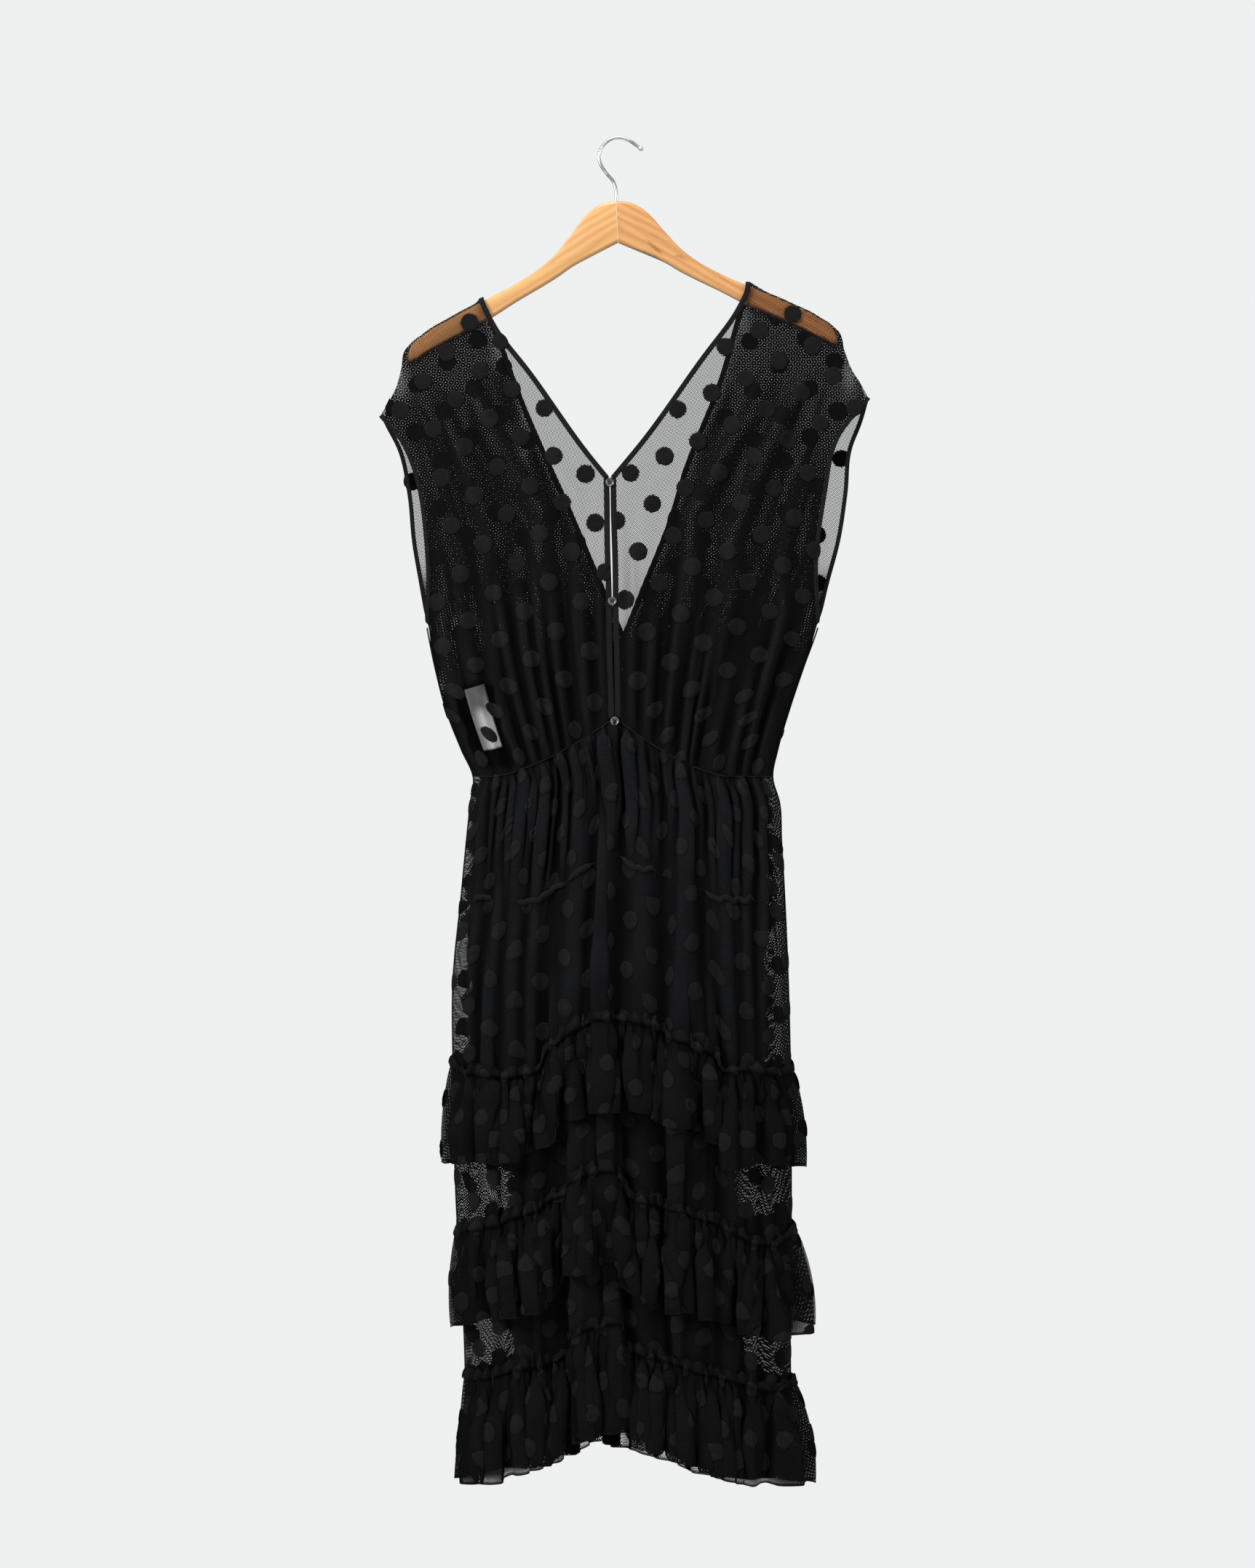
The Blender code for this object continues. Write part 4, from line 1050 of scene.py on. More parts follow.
def clothOfBodice(x, drop, side, front):
    # the cloth's own measure: it hangs at a lean from the shoulder, straightens and is gathered at the waist
    lean = bodice["lean"][side, front]
    originX, originDrop = bodice["clothOrigin"][side, front]
    drops = np.linspace(100, 700, 601)
    leans = lean * (1 - 0.8 * easeIn((drops - 440) / 220))
    aside = np.cumsum(np.sin(leans))
    straight = np.cumsum(np.cos(leans))
    aside = np.interp(drop, drops, aside - np.interp(originDrop, drops, aside))
    straight = np.interp(drop, drops, straight - np.interp(originDrop, drops, straight))
    dx = x - originX
    fullness = 1 + 0.5 * easeIn((drop - 550) / 100)
    down = straight - dx * np.interp(drop, drops, np.sin(leans))
    return np.stack([(dx * math.cos(lean) + aside) * fullness, down], axis=-1)


def bodiceQuarter(side, front):
    neck, centre, armhole, seam, shoulder, waist = bodiceEdges(side, front)
    vRow = bodice["frontV"] if front else bodice["backV"]
    over = bodice["foldOverShare"]
    v = np.concatenate([over * np.array(bodice["foldOverRows"]), np.linspace(over, 1, bodice["rows"])])
    u = np.linspace(0, 1, bodice["columns"])
    inner = np.where((v <= vRow)[:, None], along(neck, np.minimum(v / vRow, 1)),
                     along(centre, np.clip((v - vRow) / (1 - vRow), 0, 1)))
    under = bodice["underarm"]
    outer = np.where((v <= under)[:, None], along(armhole, np.minimum(v / under, 1)),
                     along(seam, np.clip((v - under) / (1 - under), 0, 1)))
    top = along(shoulder, u)
    foot = along(waist, u)
    uu = u[None, :, None]
    vv = v[:, None, None]
    flat = ((1 - uu) * inner[:, None] + uu * outer[:, None] + (1 - vv) * top[None] + vv * foot[None]
            - ((1 - uu) * (1 - vv) * top[0] + uu * (1 - vv) * top[-1]
               + (1 - uu) * vv * foot[0] + uu * vv * foot[-1]))
    x = flat[..., 0]
    drop = flat[..., 1]
    turn = np.clip(v / over, 0, 1)[:, None]
    depth = depthAt(x, drop, front) * np.sqrt(1 - (1 - turn) ** 2)
    folds = bodiceFolds(uu[..., 0], vv[..., 0], side, front)
    outward = outwardOf[front]
    points = np.stack([x, outward * (depth + folds), drop], axis=-1)
    slope = np.abs(np.gradient(folds, axis=1) / np.maximum(np.abs(np.gradient(x, axis=1)), 0.3))
    steep = (0.10 + 0.15 * easeIn((drop - 400) / 80)) * np.clip(slope, 0, 0.8)
    cover = bodiceCover(x, drop, side, front, uu[..., 0], vv[..., 0]) + steep
    bands = foldBands(uu[..., 0], vv[..., 0], side) * rising(drop, *bodice["bandsFrom"])
    # ridge: painted fold shade and highlight; the front is darker along its pleats, the back is darker all over
    ridge = ridgeShare(points, outward, 6, 1.3)
    ridge = ridge * (1 - 0.2 * bands) if front else 0.5 * ridge
    return {"points": points, "cloth": clothOfBodice(x, drop, side, front), "cover": cover, "ridge": ridge,
            "v": v, "outward": outward, "netTurn": 0.0 if front else bodice["netTurn"][side]}


quarters = {(side, front): bodiceQuarter(side, front) for side in signOf for front in outwardOf}
sheets = {}


def makeNetSheet(name, *parts):
    # a sheet of net, sewn from the grids of its parts, in place of the node that it is named for
    meshes = []
    for data in parts:
        mesh = gridMesh(name, data["points"], data["outward"])
        paintCloth(mesh, data["cloth"], data["cover"], data["ridge"], data["netTurn"])
        meshes.append(mesh)
    mesh = joined(name, meshes, welds["seam"]) if len(meshes) > 1 else meshes[0]
    sheets[name] = parts
    return addPiece(name, mesh, materials["net"], "black_net", name.replace("_net", ""))


for side in signOf:
    makeNetSheet("bodice_front_" + side + "_net", quarters[side, True])
# the two halves of the back meet below the V only
makeNetSheet("bodice_back_net", quarters["left", False], quarters["right", False])
print("bodice made")


# Bound edges, placket, seam cords

trim = {
    "neckWidth": 5.4,
    "armholeWidth": 4.4,
    "tapeOverPlacket": 4.5,
    "thickness": 1.5,
    "placketThickness": 1.3,
    "seamCord": 0.85,
    "waistCord": 0.55,
    # height and thickness of the rolled tuck at the hip, and where the folds leave it in sight
    "hipTuck": (5.6, 2.4),
    "hipRolls": ((-152, -135), (-107, -60), (-55, -33), (0, 32), (86, 132)),
    "sideSeam": (502, 1371),
}


def tapeSides(data, column, share, towards):
    # points of a panel's first or last column and the way from them to the tape's middle
    edge = data["points"][data["v"] <= share, column]
    skip = len(bodice["foldOverRows"]) + 1
    side = sideOf(edge[:, (0, 2)], towards)
    side[:skip] = side[skip]
    return edge, unit(softened(side, 10))


def besideEdge(edge, flatSide):
    # the middle of a tape that lies beside an edge, and the way across it
    across = np.stack([flatSide[:, 0], np.zeros(len(edge)), flatSide[:, 1]], axis=1)
    return edge + across * bodice["tapeReach"], across


def evenTape(route, across, count):
    steps = routeLengths(route) / routeLengths(route)[-1]
    shares = np.linspace(0, 1, count)
    across = np.stack([np.interp(shares, steps, across[:, k]) for k in range(3)], axis=1)
    return along(route, shares), across


def addTape(name, node, route, across, width, thickness, ring=False):
    mesh = sweep(name, route, across, stripOutline(width, thickness), ring=ring)
    piece = addPiece(name, mesh, materials["tape"], "black_binding", node)
    return piece, route, across, width, thickness


def makeNeckTape(side):
    towards = (-signOf[side], -0.5)
    front, frontSide = tapeSides(quarters[side, True], 0, bodice["frontV"], towards)
    back, backSide = tapeSides(quarters[side, False], 0, bodice["backV"], towards)
    edge = np.concatenate([front[:0:-1], back])
    flatSide = unit(softened(np.concatenate([frontSide[:0:-1], backSide]), 14))
    route, across = besideEdge(edge, flatSide)
    route = np.concatenate([route[:1] + unit(route[:1] - route[2:3]) * trim["tapeOverPlacket"], route])
    route, across = evenTape(route, np.concatenate([across[:1], across]), 260)
    return addTape("neck_tape_" + side, "neck_binding_" + side, softened(route, 4), across,
                   trim["neckWidth"], trim["thickness"])


def makeArmholeTape(side):
    sign = signOf[side]
    front, frontSide = tapeSides(quarters[side, True], -1, bodice["underarm"], (sign, 0.0))
    back, backSide = tapeSides(quarters[side, False], -1, bodice["underarm"], (sign, 0.0))
    edge = np.concatenate([front, back[::-1]])
    flatSide = np.concatenate([frontSide, backSide[::-1]])
    # at the foot of the armhole the tape turns upwards
    rise = np.array([sign * 0.55, -0.83])
    near = np.exp(-((np.arange(len(edge)) - len(front)) / 5.0) ** 2)[:, None]
    route, across = besideEdge(edge, unit(flatSide * (1 - near) + rise * near))
    route, across = evenTape(route, across, 240)
    route[:-1] = softened(route[:-1], 6, ring=True)
    across[:-1] = unit(softened(across[:-1], 8, ring=True))
    route[-1], across[-1] = route[0], across[0]
    return addTape("armhole_tape_" + side, "armhole_binding_" + side, route, across,
                   trim["armholeWidth"], trim["thickness"], ring=True)


def placketX(drop):
    top, foot = bodice["placketTop"], bodice["placketFoot"]
    return top[0] + (foot[0] - top[0]) * (drop - top[1]) / (foot[1] - top[1])


def makePlacketBand(side):
    sign = signOf[side]
    middle = bodice["placketSlit"] / 2 + bodice["placketBand"] / 2
    foot = float(seamDrop("waist", bodice["placketFoot"][0], True))
    drops = np.linspace(bodice["placketBandTop"], foot, 90)
    x = placketX(drops) + sign * middle + 0.25 * np.sin(drops / 17 + sign)
    centre = np.stack([x, -depthAt(x, drops, True), drops], axis=1)
    return addTape("placket_band_" + side, "placket_" + side, centre, (1.0, 0.0, 0.0),
                   bodice["placketBand"], trim["placketThickness"])


tapes = [make(side) for side in signOf for make in (makeNeckTape, makeArmholeTape, makePlacketBand)]
print("bindings made")


# Skirt: one surface from the waist to the hem, cut into yoke and skirt at the hip

skirt = {
    "columns": 400,
    "yokeRows": 42,
    "rows": 108,
    "levels": ("waist", "hip", "top", "middle", "bottom", "hem"),
    "foldShare": ((0, 0.12), (0.12, 0.42), (0.45, 0.75), (1.0, 0.8), (1.5, 1.0), (2.0, 0.75), (3.0, 0.75),
                  (4.0, 0.7), (5.0, 0.8)),
    # ridge x on a 165 mm half width, width, height
    "frontFolds": ((-145, 12, 5), (-129, 12, 5), (-108, 20, 8), (-89, 14, 7), (-45, 24, 9), (-17, 22, 8),
                   (19, 30, 10), (66, 26, 10), (104, 22, 8), (125, 13, 6), (142, 12, 5)),
    "backFolds": ((-143, 14, 4), (-122, 16, 6), (-94, 22, 7), (-62, 20, 6), (-30, 26, 8), (4, 22, 6),
                  (38, 26, 8), (74, 20, 6), (102, 20, 7), (126, 14, 5), (145, 12, 4)),
    "foldMean": 3.4,
    # raised middle folds of the front that carry the stepped parts of the ruffles:
    # left, right, height, first and last level
    "raised": ((-70, 93, 6.0, 1.45, 2.5), (-49, -2, 7.0, 2.5, 3.5), (-53, -6, 6.5, 3.5, 5.6)),
    "gathers": 25,
    "gatherReach": 160,
    "smallFolds": 34,
    # ridges, as evenRidges reads them: gathers below the waist, smaller ones between them,
    # streaks of closer net at the open sides, and how far each fold hangs lower than its neighbours
    "gather": {"spread": 0.4, "fill": 0.33, "tall": (3.0, 6.5), "start": (-0.1, 0.02), "rise": (0.10, 0.2),
               "end": (0.25, 0.8), "fade": (0.5, 0.9), "slant": (-5, 5)},
    "smallGather": {"spread": 0.5, "fill": 0.3, "tall": (0.6, 2.0), "start": (-0.1, 0.02), "rise": (0.06, 0.1),
                    "end": (0.05, 0.3), "fade": (0.3, 0.5), "slant": (-6, 6)},
    "streak": {"spread": 0.5, "fill": 0.3, "tall": (0.0, 0.08), "start": (-1, 0), "rise": (1, 2),
               "end": (6, 7), "fade": (1, 2), "slant": (-2, 2)},
    "lower": {"spread": 0.4, "fill": 0.5, "tall": (-10, 14), "start": (300, 400), "rise": (100, 200),
              "end": (1500, 1600), "fade": (50, 60), "slant": (-0.02, 0.02)},
    "roll": 0.55,
    "splay": 0.12,
    "fadeAtSide": 0.05,
    # how much wider the gathered cloth is than it hangs, by level
    "fullness": ((0.0, 1.55), (0.6, 1.3), (1.3, 1.12), (5.0, 1.08)),
    # drop, and from where on the left and on the right the skirt hangs open
    "openSides": ((655, -152, 150), (780, -160, 150), (850, -160, 146), (950, -158, 148), (1040, -132, 126),
                  (1075, -104, 112), (1120, -112, 118), (1200, -130, 132), (1240, -110, 122),
                  (1275, -112, 130), (1370, -135, 140)),
    # share of thread, and how much less there is at the open left side, below the hip there, and at the right
    "cover": 0.95,
    "thinner": (0.32, 0.08, 0.18),
}


def splay(u):
    # outward direction across the skirt: square to the cloth, turning to the side at each end
    turn = math.pi / 2 * easeIn(np.minimum(u, 1 - u) / skirt["splay"])
    return np.cos(turn) * np.where(u < 0.5, -1, 1), np.sin(turn)


def levelAt(x, drop, front):
    # 0 at the waist seam, 1 at the hip, and so on to 5 at the hem
    lines = [seamDrop(name, x, front) for name in skirt["levels"]]
    return sum(np.clip((drop - a) / (b - a), 0, 1) for a, b in zip(lines, lines[1:]))


def skirtRidges(front):
    rng = np.random.default_rng(31 if front else 32)
    reach = skirt["gatherReach"]
    gathers = evenRidges(-reach, reach, skirt["gathers"], 71 if front else 72, skirt["gather"])
    gathers += evenRidges(-reach, reach, skirt["gathers"] * 2 + 3, 73, skirt["smallGather"])
    long = [(rng.uniform(-150, 150), rng.uniform(3.5, 7.5), rng.uniform(1.2, 3.4), rng.uniform(0.0, 3.6), 0.5,
             rng.uniform(1.5, 4.5), 0.6, rng.uniform(-5, 5)) for _ in range(skirt["smallFolds"])]
    return gathers + long


def skirtFolds(u, level, front):
    x = (2 * u - 1) * body["halfWidth"]
    rng = np.random.default_rng(31 if front else 32)
    share = np.interp(level, *zip(*skirt["foldShare"]))
    height = np.zeros(np.broadcast(u, level).shape)
    for ridge, width, tall in skirt["frontFolds" if front else "backFolds"]:
        sway = rng.uniform(1.0, 3.5) * np.sin(level * rng.uniform(0.9, 1.7) + rng.uniform(0, 6))
        height = height + tall * np.exp(-((x - ridge - sway) / (width * 0.5)) ** 2)
    height = (height - skirt["foldMean"]) * share
    height = height + ridgeField(x, level, skirtRidges(front)) - 1.5 * (1 - easeIn(level / 0.9))
    if front:
        for left, right, tall, first, last in skirt["raised"]:
            across = easeIn((x - left) / 7 + 0.5) * easeIn((right - x) / 7 + 0.5)
            height = height + tall * across * easeIn((level - first) / 0.3) * (1 - easeIn((level - last) / 0.3))
    return height * easeIn(np.minimum(u, 1 - u) / skirt["fadeAtSide"])


def skirtPoints(u, drop, front, level=None):
    # the skirt's surface at shares of its width and at drops
    left = section("left", drop)
    right = section("right", drop)
    x = left + (right - left) * u
    if level is None:
        level = levelAt(x, drop, front)
    depth = depthAt(x, drop, front)
    aside, out = splay(u)
    fold = skirtFolds(u, level, front)
    roll, slope = rolledOver(x, fold, skirt["roll"], 6.0)
    x = x + aside * fold - roll * out
    return np.stack([x, outwardOf[front] * (depth + out * fold), drop], axis=-1), slope


def skirtDrops(u, level, front):
    # drops of rows that lie between the seam lines
    names = skirt["levels"]
    x = (2 * u - 1) * body["halfWidth"] + 0 * level
    low = np.clip(level.astype(int), 0, len(names) - 2) + 0 * x.astype(int)
    t = level - low
    for _ in range(3):
        lines = np.stack([seamDrop(name, x, front) for name in names])
        above, below = (np.take_along_axis(lines, low[None] + step, 0)[0] for step in (0, 1))
        drop = above * (1 - t) + below * t
        left = section("left", drop)
        x = left + (section("right", drop) - left) * u
    return drop


def openSides(x, drop):
    # 1 where the skirt hangs open at its sides, beyond the gathered part
    drops, left, right = zip(*skirt["openSides"])
    ragged = 5 * np.sin(drop / 9.0) * np.sin(drop / 23.0 + 1) + 3 * np.sin(drop / 4.3)
    openLeft = np.interp(drop, drops, left) + ragged
    openRight = np.interp(drop, drops, right) - ragged
    return easeIn(np.where(x < 0, openLeft - x, x - openRight) / 6 + 0.5)


def skirtPanel(front, fromLevel, toLevel, rows):
    even = np.linspace(0, 1, skirt["columns"])
    uu = ((0.5 - 0.5 * np.cos(math.pi * even)) + 3 * even)[None, :] / 4
    level = np.linspace(fromLevel, toLevel, rows)[:, None] + 0 * uu
    drop = skirtDrops(uu, level, front)
    points, slope = skirtPoints(uu + 0 * level, drop, front, level)
    opened = openSides(points[..., 0], drop)
    streaks = ridgeField(points[..., 0], level, evenRidges(-180, 180, 40, 77, skirt["streak"]))
    thinLeft, lessBelow, thinRight = skirt["thinner"]
    thin = np.where(points[..., 0] < 0, thinLeft - lessBelow * easeIn(level - 1.5), thinRight)
    cover = skirt["cover"] - thin * opened + streaks * opened + 0.25 * np.clip(slope, 0, 1) * (1 - opened)
    widths = np.linalg.norm(np.diff(points[..., :2], axis=1), axis=-1).mean(axis=0)
    clothU = np.concatenate(([0.0], np.cumsum(widths)))
    clothU = (clothU - clothU[len(clothU) // 2])[None] * np.interp(level, *zip(*skirt["fullness"]))
    # each fold hangs a little higher or lower than its neighbours
    lowered = evenRidges(-190, 190, 13, 81 if front else 82, skirt["lower"])
    shift = ridgeField(points[..., 0], drop, lowered)
    aside = 3.5 * np.sin(drop / 47.0 + points[..., 0] / 31.0)
    outward = outwardOf[front]
    # ridge: painted fold shade and highlight, a little darker below the hip
    return {"points": points, "cloth": np.stack([clothU + aside, drop + shift], axis=-1), "cover": cover,
            "ridge": ridgeShare(points, outward, 13, 2.0) * (1 - 0.25 * easeIn(level - 1.0)), "outward": outward,
            "netTurn": 0.0 if front else net["backTurn"]}


hipLines = {}
for front, word in wordOf.items():
    makeNetSheet("skirt_yoke_" + word + "_net", skirtPanel(front, 0.0, 1.0, skirt["yokeRows"]))
    lower = skirtPanel(front, 1.0, 5.0, skirt["rows"])
    lower["cover"][-2:] = 1.0
    makeNetSheet("skirt_" + word + "_net", lower)
    hipLines[front] = lower["points"][0]
print("skirt made")


# Ruffles: gathered strips with a frilled head above the stitching

ruffles = {
    "columns": 640,
    "headRows": 15,
    "rows": 30,
    "headHeight": 12.5,
    # seam line: length of the flounce, stand-off of its hem at the left and right side, folds, seed
    "strips": {
        "top": (98, 13, 16, 15, 3),
        "middle": (98, 14, 24, 16, 5),
        "bottom": (103, 8, 24, 16, 8),
    },
    # ridges, as evenRidges reads them: billows that widen to the hem, smaller ones, and gathers on top
    "foldReach": 163,
    "billow": {"spread": 0.55, "fill": 0.34, "tall": (8.0, 15.0), "start": (-0.02, 0.05), "rise": (0.5, 0.9),
               "end": (2, 3), "fade": (1, 2), "slant": (-9, 9)},
    "smallBillow": {"spread": 0.6, "fill": 0.30, "tall": (1.5, 5.0), "start": (-0.02, 0.02),
                    "rise": (0.15, 0.35), "end": (0.35, 0.95), "fade": (0.3, 0.6), "slant": (-10, 10)},
    "gather": {"spread": 0.5, "fill": 0.30, "tall": (1.6, 3.8), "start": (-0.05, -0.02), "rise": (0.08, 0.12),
               "end": (0.08, 0.25), "fade": (0.2, 0.35), "slant": (-12, 12)},
    "liftedShorter": 0.12,
    "backLonger": 13.0,
    "stitchStandOff": 3.2,
    "sideFlare": 0.055,
    "frills": 30,
    # how far the head swells out above its stitching
    "puff": 5.0,
    "hemUneven": 3.2,
    "fullness": 1.25,
    # share of thread, and how much less there is at the left and at the right side
    "cover": 0.96,
    "thinnerSides": (0.2, 0.12),
    # the hem, where one layer hangs: how much less thread there is, and from which share of the length
    "thinnerHem": {True: (0.30, 0.90), False: (0.42, 0.80)},
}


def ruffleRidges(count, seed):
    reach = ruffles["foldReach"]
    return (evenRidges(-reach, reach, count, seed, ruffles["billow"])
            + evenRidges(-reach, reach, count * 2 + 1, seed + 7, ruffles["smallBillow"])
            + evenRidges(-reach, reach, count * 3 + 2, seed + 13, ruffles["gather"]))


def makeRuffle(line, front):
    length, sideLeft, sideRight, count, seed = ruffles["strips"][line]
    seed = seed + (0 if front else 20)
    u = np.linspace(0, 1, ruffles["columns"])[None, :]
    x0 = (2 * u - 1) * body["halfWidth"]
    head = -np.linspace(1, 0, ruffles["headRows"])[:-1]
    t = np.concatenate([head, np.linspace(0, 1, ruffles["rows"]) ** 1.05])[:, None]
    down = np.clip(t, 0, 1)
    up = np.clip(-t, 0, 1)
    billow = ridgeField(x0, down, ruffleRidges(count, seed))
    hemBillow = billow[-1:] / 12.0
    frills = ruffles["frills"]
    phase = np.interp(u, unevenSteps(frills, seed + 19, 0.5), np.arange(frills + 1)) * 2 * math.pi
    heights = np.random.default_rng(seed + 40).uniform(0.65, 1.3, frills + 2)
    tall = np.interp(phase, np.arange(frills + 2) * 2 * math.pi, heights)
    # the head stands up in lobes that swell out and lean back, and pinch in between
    lobe = np.abs(np.sin(phase / 2)) ** 0.7
    rise = ruffles["headHeight"] * (0.6 + 0.4 * lobe) * tall * up
    lean = ruffles["puff"] * (0.3 + 0.7 * lobe) * tall * np.sin(0.93 * math.pi * up ** 0.55)
    reach = ruffles["stitchStandOff"] + 1.8 * down + billow + lean
    stitch = seamDrop(line, x0, front)
    side = body["seams"][line][0]
    length = length - ruffles["liftedShorter"] * np.maximum(side - stitch, 0)
    if front:
        length = steppedLine(body["hems"][line], x0) - stitch
    elif line == "bottom":
        length = length + ruffles["backLonger"] * easeIn((130 - np.abs(x0)) / 40)
    uneven = ruffles["hemUneven"] * (hemBillow - 0.5 + 0.4 * np.sin(x0 / 17.0 + seed)) * down ** 2
    drop = stitch + length * down + uneven - rise
    atSide = 1 - easeIn(np.minimum(u, 1 - u) / ruffles["sideFlare"])
    sideFull = np.where(u < 0.5, sideLeft, sideRight)
    sideShare = np.where(t >= 0, 0.22 + 0.85 * np.sin(down * math.pi * 0.56) ** 0.8, 0.22)
    sideReach = sideFull * sideShare + 2.0 * (hemBillow - 0.5) * down + 0.5 * lean
    reach = reach * (1 - atSide) + sideReach * atSide
    base, _ = skirtPoints(u + 0 * t, drop, front)
    aside, out = splay(u)
    roll, slope = rolledOver(base[..., 0], billow, 0.5, 6.5)
    loops = 2.1 * np.sin(phase) * up
    x = base[..., 0] + aside * reach - (roll - loops) * (1 - atSide)
    outward = outwardOf[front]
    points = np.stack([x, base[..., 1] + outward * out * reach, drop], axis=-1)
    opened = rising(np.abs(x0), 152, 12) * np.where(x0 < 0, *ruffles["thinnerSides"])
    thinner, hemFrom = ruffles["thinnerHem"][front]
    thinHem = thinner * rising(down, hemFrom, 0.10)
    thinHem = thinHem * (1 - 0.8 * rising(np.abs(x0), 138, 15))
    cover = np.where(t < 0, 1.0, ruffles["cover"] - opened - thinHem * (1 - 0.5 * np.clip(slope, 0, 1)))
    cover[-1:] = 1.0
    widths = np.linalg.norm(np.diff(points[..., :2], axis=1), axis=-1)[len(head) + 8:].mean(axis=0)
    clothU = np.concatenate(([0.0], np.cumsum(widths))) * ruffles["fullness"]
    clothV = np.where(t[:, 0] >= 0, 98 * down[:, 0], -ruffles["headHeight"] * 1.6 * up[:, 0])
    cloth = np.stack(np.broadcast_arrays(clothU[None], clothV[:, None]), axis=-1)
    # painted light: the head's lobes carry a painted highlight that grows towards their tops, the line of
    # stitching a painted shade, and the flounce below painted fold shade, darker than the head
    ridge = ridgeShare(points, outward, 16, 2.4)
    paintedPinchShade = np.exp(-(np.where(t < 0, up * 9.0, down * 60.0) / 1.3) ** 2)
    lit = (0.20 + 0.55 * lobe) * (0.9 + 0.4 * up)
    ridge = np.where(t < 0, lit, 0.52 * ridge ** 1.3) * (1 - 0.9 * paintedPinchShade)
    data = {"points": points, "cloth": cloth, "cover": cover, "ridge": ridge, "outward": outward,
            "netTurn": 0.0 if front else net["backTurn"]}
    return makeNetSheet("ruffle_" + line + "_" + wordOf[front] + "_net", data), points[len(head)]


ruffleParts = {(line, front): makeRuffle(line, front) for line in ruffles["strips"] for front in outwardOf}
print("ruffles made")


# Woven dots: raised pads that follow the cloth's own measure

dots = {
    "radius": 10.0,
    "columnStep": 29.1,
    "rowStep": 50.5,
    # rings as shares of the radius, and how high each stands off the net
    "rings": ((0.0, 1.15), (0.36, 1.12), (0.68, 1.0), (0.92, 0.8), (1.0, 0.1)),
    "steps": 20,
    "uneven": 0.03,
    "leastInside": 8,
    # how far a dot that an edge crosses stands past it: over a tape, at a folded side, at a seam
    "pastEdge": {"tape": 6.0, "side": 1.8, "seam": 0.3},
    "tapeEnds": 505.0,
    "overTape": 0.6,
    # the share of its place's painted fold shade and highlight that a dot takes on, by the piece's first word
    "paintedShading": {"bodice": 0.9, "skirt": 0.7, "ruffle": 0.8},
    # where a sheet's pattern starts in the cloth's own measure, and its seed
    "patterns": {
        "bodice_front_left_net": ((0.0, 0.0), 1), "bodice_front_right_net": ((0.0, 0.0), 2),
        "bodice_back_net": ((18.8, 14.0), 3), "skirt_yoke_front_net": ((6.0, 608.0), 4),
        "skirt_yoke_back_net": ((15.0, 600.0), 5), "skirt_front_net": ((6.0, 608.0), 6),
        "skirt_back_net": ((15.0, 600.0), 7),
    },
}


def dotShape():
    # the points of a flat disc of radius 1 in rings, and its faces
    shape = spun([(radius, 0.0) for radius, _ in dots["rings"]], dots["steps"], 0.001)
    shape.verts.ensure_lookup_table()
    points = np.array([v.co[:2] for v in shape.verts])
    faces = [[v.index for v in f.verts] for f in shape.faces]
    shape.free()
    return points, faces


